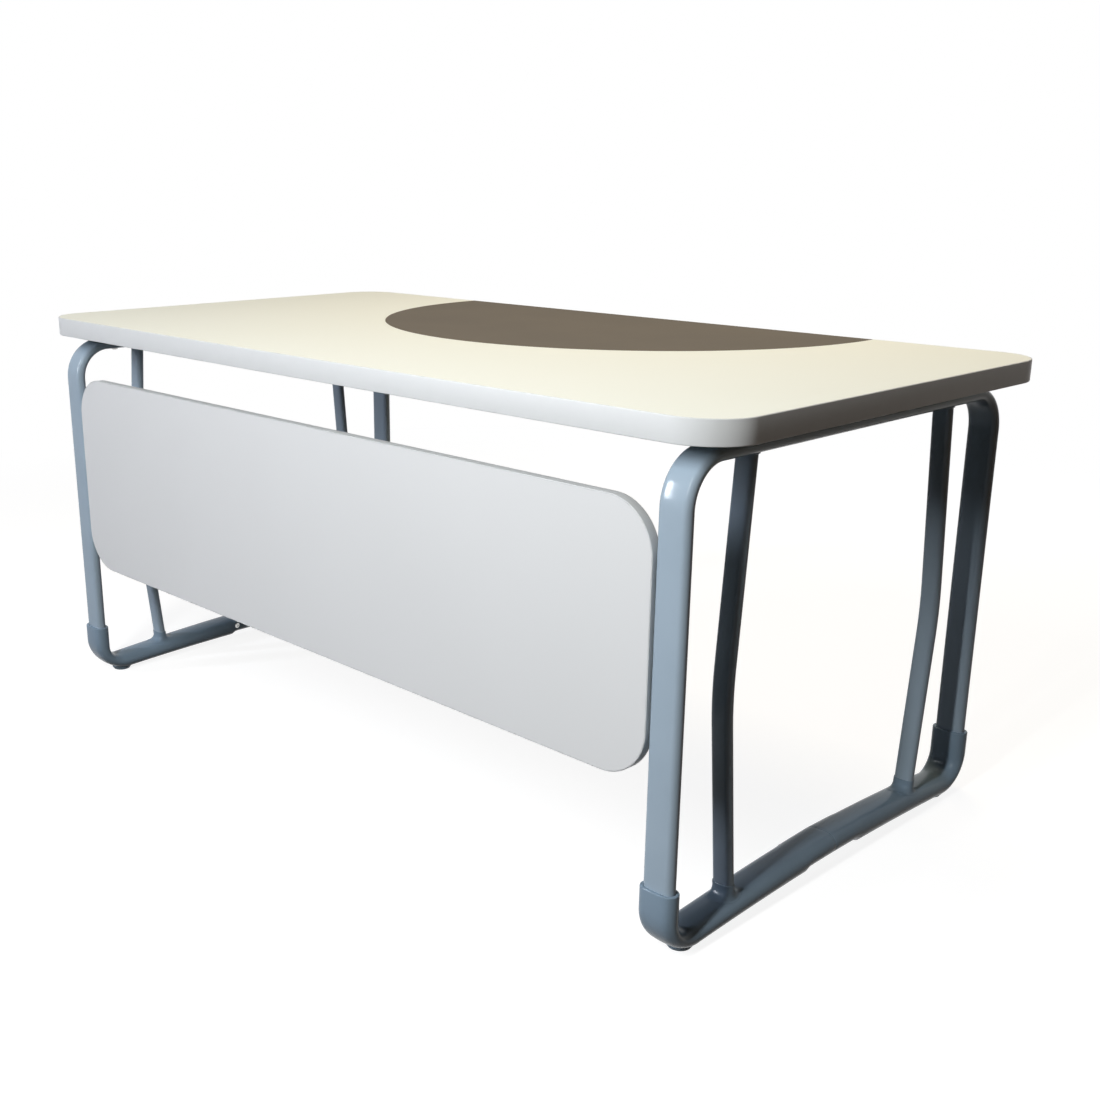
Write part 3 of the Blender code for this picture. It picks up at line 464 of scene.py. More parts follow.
def collar_rings():
    """The strut's collar: a skirt that sweeps up from the bar, a short wall, a rim and a pit."""
    base = bar_high(STRUT_FOOT_OFFSET)
    top = base + COLLAR_HEIGHT
    wall_foot = top - COLLAR_HEIGHT * COLLAR_WALL_SHARE
    half_width = STRUT_HALF_WIDTH + SEAT_GAP + COLLAR_WALL
    half_depth = STRUT_HALF_DEPTH + SEAT_GAP + COLLAR_WALL
    wall = oval(half_width, half_depth, half_depth)
    skirt_width = half_width + COLLAR_FLARE_ACROSS
    skirt_depth = half_depth + COLLAR_FLARE_ALONG
    skirt = oval(skirt_width, skirt_depth, half_width * SKIRT_END_SHARE)
    rings = []
    for i in range(COLLAR_STEPS + 1):
        t = i / COLLAR_STEPS
        ring = []
        for (wall_x, wall_y), (skirt_x, skirt_y) in zip(wall, skirt):
            high = Vector((wall_x, wall_y - strut_offset(wall_foot), wall_foot))
            under_y = wall_y - strut_offset(base)
            under = Vector((wall_x, under_y, bar_surface(wall_x, -under_y)))
            foot_y = skirt_y - strut_offset(base)
            foot = Vector((skirt_x, foot_y, bar_surface(skirt_x, -foot_y)))
            ring.append((1 - t) ** 2 * foot + 2 * t * (1 - t) * under + t * t * high)
        rings.append(ring)
    sunk = [point - Vector((0, 0, SKIRT_SINK)) for point in rings[0]]
    rings.insert(0, sunk)

    def add(height, grow):
        centre = Vector((0, -strut_offset(height), height))
        deep = Vector((0, 1, 0))
        rings.append(oval_ring(centre, deep, half_width + grow, half_depth + grow))

    for turn in quarter_turn(COLLAR_RIM_STEPS):
        drop = COLLAR_RIM_ROUND * (1 - math.sin(turn))
        add(top - drop, -COLLAR_RIM_ROUND * (1 - math.cos(turn)))
    add(top, -COLLAR_WALL)
    add(top - COLLAR_PIT_DEPTH, -COLLAR_WALL)
    return rings


def foot_cutters(metal, inner_side):
    """The glide's seat and bore, two troughs underneath, and the joiner screw's spotface."""
    glide = turned("glide_cut", [
        (GLIDE_SEAT_RADIUS, -CUT_OVERRUN),
        (GLIDE_SEAT_RADIUS, GLIDE_SEAT_HEIGHT),
        (GLIDE_BORE_RADIUS, GLIDE_SEAT_HEIGHT),
        (GLIDE_BORE_RADIUS, GLIDE_SEAT_HEIGHT + GLIDE_BORE_DEPTH),
    ], metal)
    glide.location.y = -GLIDE_OFFSET
    cutters = [glide]
    middle = (CORING_START + CORING_END) / 2
    for start, end in ((CORING_START, middle - CORING_RIB / 2), (middle + CORING_RIB / 2, CORING_END)):
        rings = []
        for offset in (start, end):
            half, top = CORING_WIDTH / 2, bar_low(offset) + CORING_DEPTH
            corners = ((-half, -CUT_OVERRUN), (half, -CUT_OVERRUN), (half, top), (-half, top))
            rings.append([Vector((x, -offset, z)) for x, z in corners])
        cutters.append(loft("coring_cut", rings, metal))
    screw = turned("screw_cut", [
        (SCREW_HOLE_RADIUS, BAR_HALF_WIDTH - SCREW_HOLE_DEPTH),
        (SCREW_HOLE_RADIUS, BAR_HALF_WIDTH - SPOTFACE_DEPTH),
        (SPOTFACE_RADIUS, BAR_HALF_WIDTH - SPOTFACE_DEPTH),
        (SPOTFACE_RADIUS, BAR_HALF_WIDTH + CUT_OVERRUN),
    ], metal)
    screw.rotation_euler.y = inner_side * math.pi / 2
    screw.location = (0, -SCREW_OFFSET, NECK_MIDDLE)
    cutters.append(screw)
    return cutters


def build_foot(name, metal, inner_side):
    """One foot, facing the front; inner_side is the way along X to the screw's spotface."""
    foot = loft(name, sleeve_rings() + elbow_rings() + bar_rings(), metal)
    for cutter in foot_cutters(metal, inner_side):
        cut(foot, cutter)
    settle(foot)
    merge(foot, loft("collar", collar_rings(), metal))
    boss_top = FOOT_CLEARANCE + BAR_DEPTH_AT_ELBOW / 2
    boss = turned("boss", [
        (GLIDE_SEAT_RADIUS, GLIDE_SEAT_HEIGHT + SEAT_GAP),
        (GLIDE_SEAT_RADIUS, BOSS_LOW + BOSS_ROUND),
        (GLIDE_SEAT_RADIUS + BOSS_ROUND, BOSS_LOW),
        (BOSS_RADIUS - BOSS_ROUND, BOSS_LOW),
        (BOSS_RADIUS, BOSS_LOW + BOSS_ROUND),
        (BOSS_RADIUS, boss_top),
    ], metal)
    boss.location.y = -GLIDE_OFFSET
    merge(foot, boss)
    shade(foot.data)
    return foot


# A rear foot is the other leg's front foot turned round, so its spotface stays on the inside.
NECK_MIDDLE = (bar_low(0) + bar_high(0)) / 2
casting = coated_casting()
front_feet = {way: build_foot(f"{side}_front_foot_casting", casting, -way) for side, way in LEGS}
for side, way in LEGS:
    rear_foot = new_piece(f"{side}_rear_foot_casting", front_feet[-way].data, casting)
    rear_foot.rotation_euler.z = math.pi
    for end, foot in (("front", front_feet[way]), ("rear", rear_foot)):
        foot.location = (way * LEG_X, LEG_Y, 0)
        install(foot, f"{side}_{end}_foot")

# Struts: a slimmer oval tube, bowed towards the post at knee height. It stands in the foot's
# collar and is welded to the underside of the top bar, with a bead that the coat covers.
ENDS = (("front", -1), ("rear", 1))
STRUT_STEPS = 40
WELD_LEG = 0.0022
WELD_RIPPLE = 0.0003
WELD_RIPPLES = 22
WELD_STEPS = 6


def strut_ring(height, grow=0.0):
    """The strut's oval at a height, grown by a distance."""
    centre = Vector((0, -strut_offset(height), height))
    return oval_ring(centre, Vector((0, 1, 0)), STRUT_HALF_WIDTH + grow, STRUT_HALF_DEPTH + grow)


def strut_rings():
    """Level ovals from the strut's foot to its top."""
    run = strut_high.z - strut_low.z
    return [strut_ring(strut_low.z + run * i / STRUT_STEPS) for i in range(STRUT_STEPS + 1)]


def weld_rings():
    """A fillet bead between the strut's wall and the bar above it, with the welder's ripples."""
    rings = []
    for turn in quarter_turn(WELD_STEPS):
        height = strut_high.z - WELD_LEG * (1 - math.sin(turn))
        centre = Vector((0, -strut_offset(height), height))
        ring = strut_ring(height, WELD_LEG * (1 - math.cos(turn)))
        swell = WELD_RIPPLE * math.sin(turn)
        for j, point in enumerate(ring):
            wave = math.sin(2 * math.pi * WELD_RIPPLES * j / len(ring))
            ring[j] = point + (point - centre).normalized() * swell * wave
        rings.append(ring)
    return rings


strut = loft("left_front_strut_tube", strut_rings(), paint)
merge(strut, loft("weld", weld_rings(), paint))
for side, way in LEGS:
    for end, _ in ENDS:
        if (side, end) != ("left", "front"):
            strut = new_piece(f"{side}_{end}_strut_tube", strut.data, paint)
        strut.location = (way * LEG_X, LEG_Y, 0)
        strut.rotation_euler.z = math.pi if end == "rear" else 0
        install(strut, f"{side}_{end}_strut")

# Joiners and bushes: steel pieces inside the feet. The oval joiner tube bridges the two halves
# of a foot bar, and the threaded bushes are pressed into the bosses. Their shape is the one in
# model.glb.
def zinc_plate():
    """Zinc-plated steel: the bright zinc is broken up by a fine spangle, drawn as 3 mm, and
    dulled in soft patches by handling."""
    material, tree, shader = new_material("zinc_plated_steel", Metallic=1.0)
    place = add_node(tree, "ShaderNodeTexCoord").outputs["Object"]
    patches = add_node(tree, "ShaderNodeTexNoise", {"Vector": place, "Scale": per_mm(3), "Detail": 3.0})
    tints = {0: patches.outputs[0], 6: colour("#B9BBBC"), 7: colour("#D3D3CF")}
    tint = add_node(tree, "ShaderNodeMix", tints, data_type="RGBA")
    dull = add_node(tree, "ShaderNodeMapRange", {0: patches.outputs[0], "To Min": 0.24, "To Max": 0.42})
    tree.links.new(tint.outputs[2], shader.inputs["Base Color"])
    tree.links.new(dull.outputs[0], shader.inputs["Roughness"])
    return material


def refinish(node, material):
    """Gives a node that stays in the scene a better material."""
    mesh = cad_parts[node].data
    for slot in range(len(mesh.materials)):
        mesh.materials[slot] = material


zinc = zinc_plate()
for side, _ in LEGS:
    refinish(f"{side}_joiner", zinc)
    for end, _ in ENDS:
        refinish(f"{side}_{end}_glide_bush", zinc)

# Joiner screws: button-head socket screws through the inner side of each foot bar. They are
# zinc plated, and each head sits in a spotface with its hexagon socket facing out.
BUTTON_SCREW = {
    "head_radius": 0.0055,
    "head_height": 0.0035,
    "shank_radius": 0.003,
    "shank_length": 0.014,
}
DOME_SHARES = (0.62, 0.75, 0.87, 0.95, 1.0)
DOME_FALL_SHARE = 0.5
DOME_POWER = 2.5
SOCKET_SHARE = 0.5
SOCKET_DEPTH_SHARE = 0.6
SOCKET_FLOOR_SHARE = 0.85
SOCKET_EDGE_SHARE = 0.96
SOCKET_EDGE_DEPTH_SHARE = 0.04
CROSS_NOTCH_SHARE = 0.55


def hexagon(angle):
    """The distance to a hexagon's side, for a hexagon that reaches 1 at its corners."""
    return math.cos(math.pi / 6) / math.cos((angle + math.pi / 6) % (math.pi / 3) - math.pi / 6)


def cross(angle):
    """The distance to the edge of a cross recess with four rounded wings."""
    return 1 - CROSS_NOTCH_SHARE * math.sqrt(abs(math.sin(2 * angle)))


def build_screw(name, drive, head_radius, head_height, shank_radius, shank_length):
    """A screw along Z with its head up, seated at height 0, and a drive recess in its dome."""

    def dome(share):
        return head_height * (1 - DOME_FALL_SHARE * share**DOME_POWER)

    socket = head_radius * SOCKET_SHARE
    edge = dome(SOCKET_SHARE)
    edge_low = edge - head_height * SOCKET_EDGE_DEPTH_SHARE
    floor = edge - head_height * SOCKET_DEPTH_SHARE
    rings = [
        circle(socket * SOCKET_FLOOR_SHARE, floor, shape=drive),
        circle(socket * SOCKET_EDGE_SHARE, edge_low, shape=drive),
        circle(socket, edge, shape=drive),
    ]
    rings += [circle(head_radius * share, dome(share)) for share in DOME_SHARES]
    rings += [circle(head_radius, 0), circle(shank_radius, 0), circle(shank_radius, -shank_length)]
    return loft(name, rings, zinc)


for side, way in LEGS:
    for end, along in ENDS:
        bolt = build_screw(f"{side}_{end}_joiner_bolt", hexagon, **BUTTON_SCREW)
        seat = BAR_HALF_WIDTH - SPOTFACE_DEPTH + SEAT_GAP
        bolt.rotation_euler.y = -way * math.pi / 2
        bolt.location = (way * (LEG_X - seat), LEG_Y + along * SCREW_OFFSET, NECK_MIDDLE)
        install(bolt, f"{side}_{end}_joiner_screw")

# Levelling glides: a moulded nylon base with a gripped rim, on a threaded steel stud that turns
# in the bush. Each one is a body of its own and comes down with its stud.
BASE_RADIUS = 0.0165
BASE_HEIGHT = 0.0060
BASE_ROUND = 0.0012
BASE_FLOOR = 0.0030
RIM_SHARE = 0.3
DISH_SHARE = 0.6
DISH_DEPTH = 0.0004
SOLE_SHARE = 0.7
GRIP_RIBS = 36
STEPS_PER_RIB = 4
GRIP_DEPTH = 0.0003
STUD_RADIUS = 0.004
STUD_LENGTH = 0.021
THREAD_PITCH = 0.00125
THREAD_DEPTH = 0.0007
THREAD_SEGMENTS = 24
# Across one pitch of the thread: a share of the pitch, and how far the surface lies below
# the stud's full radius.
THREAD_FLANK = ((0, -THREAD_DEPTH), (0.35, 0), (0.55, 0), (0.9, -THREAD_DEPTH), (1, -THREAD_DEPTH))
MERGE_DISTANCE = 1e-6


def moulded_nylon():
    """Glass-filled nylon, injection moulded in a grey near the frame's: a satin face with a
    spark-eroded grain of under 1 mm, drawn as 2 mm, that keeps it duller than the coat."""
    material, tree, shader = new_material("moulded_nylon_blue_grey", Roughness=0.55, IOR=1.53)
    place = add_node(tree, "ShaderNodeTexCoord").outputs["Object"]
    grain = add_node(tree, "ShaderNodeTexNoise", {"Vector": place, "Scale": per_mm(2), "Detail": 3.0})
    tints = {0: grain.outputs[0], 6: colour("#62707C"), 7: colour("#6C7A86")}
    tint = add_node(tree, "ShaderNodeMix", tints, data_type="RGBA")
    relief = {"Height": grain.outputs[0], "Strength": 0.3, "Distance": 0.0002}
    bump = add_node(tree, "ShaderNodeBump", relief)
    tree.links.new(tint.outputs[2], shader.inputs["Base Color"])
    tree.links.new(bump.outputs[0], shader.inputs["Normal"])
    return material


def build_glide_base(name, material):
    """The base's disc, its rim gripped by ribs, with a hole for the stud."""
    rings = []
    soft_radius, soft_height = BASE_RADIUS - BASE_ROUND * RIM_SHARE, BASE_ROUND * RIM_SHARE
    profile = [
        (BASE_RADIUS * DISH_SHARE, DISH_DEPTH, 0),
        (BASE_RADIUS * SOLE_SHARE, 0, 0),
        (BASE_RADIUS - BASE_ROUND, 0, 0),
        (soft_radius, soft_height, 0.5),
        (BASE_RADIUS, BASE_ROUND, 1),
        (BASE_RADIUS, BASE_HEIGHT - BASE_ROUND, 1),
        (soft_radius, BASE_HEIGHT - soft_height, 0.5),
        (BASE_RADIUS - BASE_ROUND, BASE_HEIGHT, 0),
        (STUD_RADIUS + SEAT_GAP, BASE_HEIGHT, 0),
        (STUD_RADIUS + SEAT_GAP, BASE_FLOOR, 0),
    ]
    for radius, height, grip in profile:
        depth_share = grip * GRIP_DEPTH / radius

        def ribbed(angle):
            return 1 - depth_share * (0.5 - 0.5 * math.cos(GRIP_RIBS * angle))

        rings.append(circle(radius, height, GRIP_RIBS * STEPS_PER_RIB, ribbed))
    return loft(name, rings, material)


def build_stud(name, material):
    """A stud with a rolled thread: its ridge climbs one pitch for each turn."""
    body = bmesh.new()
    low = BASE_FLOOR + SEAT_GAP
    steps = int((STUD_LENGTH - THREAD_PITCH) / THREAD_PITCH * THREAD_SEGMENTS)
    rows = []
    for i in range(steps + 1):
        angle = 2 * math.pi * i / THREAD_SEGMENTS
        row = []
        for rise_share, dip in THREAD_FLANK:
            radius = STUD_RADIUS + dip
            height = low + THREAD_PITCH * (i / THREAD_SEGMENTS + rise_share)
            row.append(body.verts.new((radius * math.cos(angle), radius * math.sin(angle), height)))
        rows.append(row)
    for first, second in zip(rows, rows[1:]):
        for i in range(len(THREAD_FLANK) - 1):
            body.faces.new((first[i], second[i], second[i + 1], first[i + 1]))
    bmesh.ops.remove_doubles(body, verts=body.verts, dist=MERGE_DISTANCE)
    bmesh.ops.holes_fill(body, edges=body.edges)
    bmesh.ops.recalc_face_normals(body, faces=body.faces)
    return piece_from(name, body, material)


nylon = moulded_nylon()
for side, way in LEGS:
    for end, along in ENDS:
        glide_body = f"{side}_{end}_glide"
        place = (way * LEG_X, LEG_Y + along * GLIDE_OFFSET, 0)
        base = build_glide_base(f"{side}_{end}_glide_foot", nylon)
        base.location = place
        install(base, f"{side}_{end}_glide_base", glide_body)
        stud = build_stud(f"{side}_{end}_threaded_stud", zinc)
        stud.location = place
        install(stud, f"{side}_{end}_glide_stud", glide_body)

# Spacers and top screws: three nylon rings hold the desktop off each top bar, which leaves the
# dark gap under it. A long pan-head screw runs up through each ring into the board.
spacer_low, spacer_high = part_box("left_middle_spacer")
SPACER_RADIUS = (spacer_high.x - spacer_low.x) / 2
SPACER_CHAMFER = 0.0008
TOP_SCREW_OFFSET = 0.295
TOP_SCREW = {
    "head_radius": 0.006,
    "head_height": 0.004,
    "shank_radius": 0.003,
    "shank_length": 0.052,
}

spacer_profile = [
    (SPACER_RADIUS - SPACER_CHAMFER, spacer_low.z),
    (SPACER_RADIUS, spacer_low.z + SPACER_CHAMFER),
    (SPACER_RADIUS, spacer_high.z - SPACER_CHAMFER),
    (SPACER_RADIUS - SPACER_CHAMFER, spacer_high.z),
]
for side, way in LEGS:
    for end, along in (("front", -1), ("middle", 0), ("rear", 1)):
        x, y = way * LEG_X, LEG_Y + along * TOP_SCREW_OFFSET
        spacer = turned(f"{side}_{end}_spacer_ring", spacer_profile, nylon)
        spacer.location = (x, y, 0)
        install(spacer, f"{side}_{end}_spacer")
        screw = build_screw(f"{side}_{end}_desktop_screw", cross, **TOP_SCREW)
        screw.rotation_euler.x = math.pi
        screw.location = (x, y, hoop_high.z - 2 * TUBE_HALF_DEPTH - SEAT_GAP)
        install(screw, f"{side}_{end}_top_screw")

# Desktop board: a 33 mm chipboard panel faced with cream high-pressure laminate. Its visitor's
# side bows out a little, and a shallow pocket is routed for the inlay.
board_low, board_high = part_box("desktop_edge_band")
HALF_WIDTH = board_high.x
HALF_DEPTH = board_high.y
BOARD_LOW = board_low.z
BOARD_HIGH = board_high.z
CORNER_RADIUS = 0.075
VISITOR_BOW = 0.0055
BAND_THICKNESS = 0.002
BAND_ROUND = 0.0012
CORNER_STEPS = 30
BOW_STEPS = 32
INLAY_RADIUS = 0.479
INLAY_CENTRE_X = 0.025
INLAY_CENTRE_Y = HALF_DEPTH - 0.029
INLAY_THICKNESS = 0.002
INLAY_STEPS = 160


def cream_laminate():
    """High-pressure laminate pressed with a fine pearl texture of about 0.5 mm, drawn as 3 mm:
    pale and almost matt, with a cloud of slightly warmer tone across it. Most of its cream
    comes from the warm lamp overhead."""
    material, tree, shader = new_material("laminate_cream_pearl", IOR=1.5, Specular_IOR_Level=0.1)
    place = add_node(tree, "ShaderNodeTexCoord").outputs["Object"]
    pearl = add_node(tree, "ShaderNodeTexNoise", {"Vector": place, "Scale": per_mm(3), "Detail": 2.0})
    cloud = add_node(tree, "ShaderNodeTexNoise", {"Vector": place, "Scale": per_mm(400), "Detail": 2.0})
    tints = {0: cloud.outputs[0], 6: colour("#F2F6F1"), 7: colour("#F0F4ED")}
    tint = add_node(tree, "ShaderNodeMix", tints, data_type="RGBA")
    matt = add_node(tree, "ShaderNodeMapRange", {0: pearl.outputs[0], "To Min": 0.72, "To Max": 0.84})
    relief = {"Height": pearl.outputs[0], "Strength": 0.08, "Distance": 0.0002}
    bump = add_node(tree, "ShaderNodeBump", relief)
    tree.links.new(tint.outputs[2], shader.inputs["Base Color"])
    tree.links.new(matt.outputs[0], shader.inputs["Roughness"])
    tree.links.new(bump.outputs[0], shader.inputs["Normal"])
    return material


def rounded_corners(half_x, half_y, radius):
    """A rounded rectangle, counter-clockwise from the right end of its low side."""
    points = []
    for quarter, (side_x, side_y) in enumerate(((1, -1), (1, 1), (-1, 1), (-1, -1))):
        centre_x, centre_y = side_x * (half_x - radius), side_y * (half_y - radius)
        for i in range(CORNER_STEPS + 1):
            angle = math.pi / 2 * (quarter - 1 + i / CORNER_STEPS)
            points.append((centre_x + radius * math.cos(angle), centre_y + radius * math.sin(angle)))
    return points


def desktop_outline(inset):
    """The top's outline, set in by a distance, with the visitor's side bowed outwards."""
    half_x, half_y = HALF_WIDTH - inset, HALF_DEPTH - inset
    radius = CORNER_RADIUS - inset
    points = rounded_corners(half_x, half_y, radius)
    straight = half_x - radius
    for i in range(1, BOW_STEPS):
        points.append((straight * (2 * i / BOW_STEPS - 1), -half_y))
    low = radius - half_y
    bowed = []
    for x, y in points:
        bow = VISITOR_BOW * (x / half_x) ** 2
        fade = smoothstep((low - y) / radius)
        bowed.append((x, y + bow * fade))
    return bowed


def inlay_outline(radius, back_y):
    """The inlay's round edge, closed by a straight line along the sitter's side."""
    rise = math.asin((back_y - INLAY_CENTRE_Y) / radius)
    sweep = math.pi + 2 * rise
    points = []
    for i in range(INLAY_STEPS + 1):
        angle = rise - sweep * i / INLAY_STEPS
        x = INLAY_CENTRE_X + radius * math.cos(angle)
        points.append((x, INLAY_CENTRE_Y + radius * math.sin(angle)))
    return points


def slab(name, outline, low, high, material):
    """A flat piece between two heights."""
    return loft(name, [[Vector((x, y, z)) for x, y in outline] for z in (low, high)], material)


laminate = cream_laminate()
board_inset = BAND_THICKNESS + SEAT_GAP
board = slab("desktop_laminate_board", desktop_outline(board_inset), BOARD_LOW, BOARD_HIGH, laminate)
pocket_outline = inlay_outline(INLAY_RADIUS + SEAT_GAP, HALF_DEPTH + CUT_OVERRUN)
pocket_floor = BOARD_HIGH - INLAY_THICKNESS - SEAT_GAP
cut(board, slab("pocket", pocket_outline, pocket_floor, BOARD_HIGH + CUT_OVERRUN, laminate))
settle(board)
install(board, "desktop_board")

# Edge band: 2 mm ABS strip glued round the board, its arrises milled round. It is cooler and
# greyer than the top, so that the board's edge reads as a clean stripe.
BAND_ARC_STEPS = 4


def extruded_abs():
    """Extruded ABS edging, scraped and buffed: satin, with a faint haze of 20 mm."""
    values = {"Roughness": 0.45, "IOR": 1.52, "Specular_IOR_Level": 0.15}
    material, tree, shader = new_material("edging_abs_grey", **values)
    place = add_node(tree, "ShaderNodeTexCoord").outputs["Object"]
    haze = add_node(tree, "ShaderNodeTexNoise", {"Vector": place, "Scale": per_mm(20), "Detail": 3.0})
    tints = {0: haze.outputs[0], 6: colour("#D4D6D7"), 7: colour("#D8DADB")}
    tint = add_node(tree, "ShaderNodeMix", tints, data_type="RGBA")
    tree.links.new(tint.outputs[2], shader.inputs["Base Color"])
    return material


def band_section(thickness, rounding, low, high):
    """(inset, height) points round an edge band, its two outer arrises rounded."""
    points = [(thickness, low)]
    for turn in quarter_turn(BAND_ARC_STEPS):
        points.append((rounding * (1 - math.sin(turn)), low + rounding * (1 - math.cos(turn))))
    for turn in quarter_turn(BAND_ARC_STEPS):
        points.append((rounding * (1 - math.cos(turn)), high - rounding * (1 - math.sin(turn))))
    points.append((thickness, high))
    return points


edging = extruded_abs()
section = band_section(BAND_THICKNESS, BAND_ROUND, BOARD_LOW, BOARD_HIGH)
rings = [[Vector((x, y, z)) for x, y in desktop_outline(inset)] for inset, z in section]
band = loft("desktop_edging", rings, edging, joined=True)
install(band, "desktop_edge_band")

# Writing inlay: a part-round sheet of dark grey-brown laminate, let in flush with the top in
# front of the sitter. Its edge is trimmed square, so only a hairline shows round it.
def dark_laminate():
    """Dead-matt laminate with a soft slate texture of about 1 mm, drawn as 5 mm."""
    values = {"Roughness": 0.7, "IOR": 1.5, "Specular_IOR_Level": 0.12}
    material, tree, shader = new_material("laminate_dark_matt", **values)
    place = add_node(tree, "ShaderNodeTexCoord").outputs["Object"]
    slate = add_node(tree, "ShaderNodeTexNoise", {"Vector": place, "Scale": per_mm(5), "Detail": 4.0})
    cloud = add_node(tree, "ShaderNodeTexNoise", {"Vector": place, "Scale": per_mm(150), "Detail": 3.0})
    tints = {0: cloud.outputs[0], 6: colour("#595247"), 7: colour("#625A4E")}
    tint = add_node(tree, "ShaderNodeMix", tints, data_type="RGBA")
    relief = {"Height": slate.outputs[0], "Strength": 0.15, "Distance": 0.0003}
    bump = add_node(tree, "ShaderNodeBump", relief)
    tree.links.new(tint.outputs[2], shader.inputs["Base Color"])
    tree.links.new(bump.outputs[0], shader.inputs["Normal"])
    return material


inlay_shape = inlay_outline(INLAY_RADIUS, HALF_DEPTH - board_inset)
inlay = slab("inlay_sheet", inlay_shape, BOARD_HIGH - INLAY_THICKNESS, BOARD_HIGH, dark_laminate())
install(inlay, "writing_inlay")

# Modesty panel: 16 mm melamine-faced chipboard between the front posts, flush with their faces.
# Its four corners are round, and a thin edging of its own grey runs round it.
panel_low, panel_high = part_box("panel_edge_band")
PANEL_HALF_WIDTH = panel_high.x
PANEL_MIDDLE = (panel_low.z + panel_high.z) / 2
PANEL_HALF_HEIGHT = (panel_high.z - panel_low.z) / 2
PANEL_CORNER_RADIUS = 0.073
PANEL_BAND_THICKNESS = 0.0012
PANEL_BAND_ROUND = 0.0009


def melamine():
    """Melamine-faced board: a plain light grey with the press plate's fine pearl grain, drawn
    as 3 mm, that keeps its reflections soft."""
    material, tree, shader = new_material("melamine_light_grey", IOR=1.5, Specular_IOR_Level=0.2)
    place = add_node(tree, "ShaderNodeTexCoord").outputs["Object"]
    pearl = add_node(tree, "ShaderNodeTexNoise", {"Vector": place, "Scale": per_mm(3), "Detail": 2.0})
    cloud = add_node(tree, "ShaderNodeTexNoise", {"Vector": place, "Scale": per_mm(250), "Detail": 2.0})
    tints = {0: cloud.outputs[0], 6: colour("#D9DADB"), 7: colour("#DCDDDE")}
    tint = add_node(tree, "ShaderNodeMix", tints, data_type="RGBA")
    matt = add_node(tree, "ShaderNodeMapRange", {0: pearl.outputs[0], "To Min": 0.45, "To Max": 0.58})
    relief = {"Height": pearl.outputs[0], "Strength": 0.08, "Distance": 0.0002}
    bump = add_node(tree, "ShaderNodeBump", relief)
    tree.links.new(tint.outputs[2], shader.inputs["Base Color"])
    tree.links.new(matt.outputs[0], shader.inputs["Roughness"])
    tree.links.new(bump.outputs[0], shader.inputs["Normal"])
    return material


def panel_ring(inset, y):
    """The panel's outline, set in by a distance, at a depth."""
    corners = rounded_corners(
        PANEL_HALF_WIDTH - inset,
        PANEL_HALF_HEIGHT - inset,
        PANEL_CORNER_RADIUS - inset,
    )
    return [Vector((x, y, PANEL_MIDDLE + z)) for x, z in corners]


panel_inset = PANEL_BAND_THICKNESS + SEAT_GAP
panel_faces = [panel_ring(panel_inset, y) for y in (panel_low.y, panel_high.y)]
panel = loft("modesty_panel_board", panel_faces, melamine())
install(panel, "modesty_panel")
section = band_section(PANEL_BAND_THICKNESS, PANEL_BAND_ROUND, panel_low.y, panel_high.y)
panel_band = loft("panel_edging", [panel_ring(inset, y) for inset, y in section], edging, joined=True)
install(panel_band, "panel_edge_band")

# Straps: joggled steel strips from the posts' rear faces to the panel's back, powder coated
# with the frame. One pan-head screw holds each end.
strap_low, strap_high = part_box("right_lower_strap")
STRAP_THICKNESS = 0.0025
STRAP_JOGGLE_LENGTH = 0.015
STRAP_POST_LENGTH = 0.030
STRAP_CORNER = 0.004
STRAP_CORNER_STEPS = 5
STRAP_JOGGLE_STEPS = 10
STRAP_SCREW = {
    "head_radius": 0.0042,
    "head_height": 0.0024,
    "shank_radius": 0.0020,
    "shank_length": 0.0125,
}
PANEL_SCREW_INSET = 0.020


def build_strap(name, way):
    """A strip in plan, stood up to its height, with round corners at both ends."""
    joggle_start = LEG_X - STRAP_POST_LENGTH / 2 - STRAP_JOGGLE_LENGTH
    course = [(strap_low.x, 0)]
    for i in range(STRAP_JOGGLE_STEPS + 1):
        share = i / STRAP_JOGGLE_STEPS
        course.append((joggle_start + STRAP_JOGGLE_LENGTH * share, smoothstep(share)))
    course.append((strap_high.x, 1))
    panel_y = panel_high.y + SEAT_GAP
    post_y = LEG_Y - POST_OFFSET + TUBE_HALF_DEPTH + SEAT_GAP
    line = [(x, panel_y + (post_y - panel_y) * share) for x, share in course]
    outline = line + [(x, y + STRAP_THICKNESS) for x, y in reversed(line)]
    half = (strap_high.z - strap_low.z) / 2
    rings = [[Vector((way * x, y, z)) for x, y in outline] for z in (-half, half)]
    strap = loft(name, rings, paint)
    body = bmesh.new()
    body.from_mesh(strap.data)
    corners = []
    for edge in body.edges:
        first, second = (vertex.co for vertex in edge.verts)
        if abs(first.x - second.x) < MERGE_DISTANCE and abs(first.y - second.y) > STRAP_THICKNESS / 2:
            corners.append(edge)
    bmesh.ops.bevel(
        body,
        geom=corners,
        offset=STRAP_CORNER,
        segments=STRAP_CORNER_STEPS,
        affect="EDGES",
        profile=0.5,
    )
    body.to_mesh(strap.data)
    body.free()
    shade(strap.data)
    return strap


for side, way in LEGS:
    for level in ("lower", "upper"):
        node = f"{side}_{level}_strap"
        low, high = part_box(node)
        middle = (low.z + high.z) / 2
        strap = build_strap(f"{side}_{level}_joggled_strap", way)
        strap.location.z = middle
        install(strap, node)
        for label, x in (("panel", PANEL_HALF_WIDTH - PANEL_SCREW_INSET), ("post", LEG_X)):
            node = f"{side}_{level}_{label}_screw"
            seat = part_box(node)[1].y - STRAP_SCREW["head_height"]
            screw = build_screw(f"{side}_{level}_{label}_strap_screw", cross, **STRAP_SCREW)
            screw.rotation_euler.x = -math.pi / 2
            screw.location = (way * x, seat, middle)
            install(screw, node)

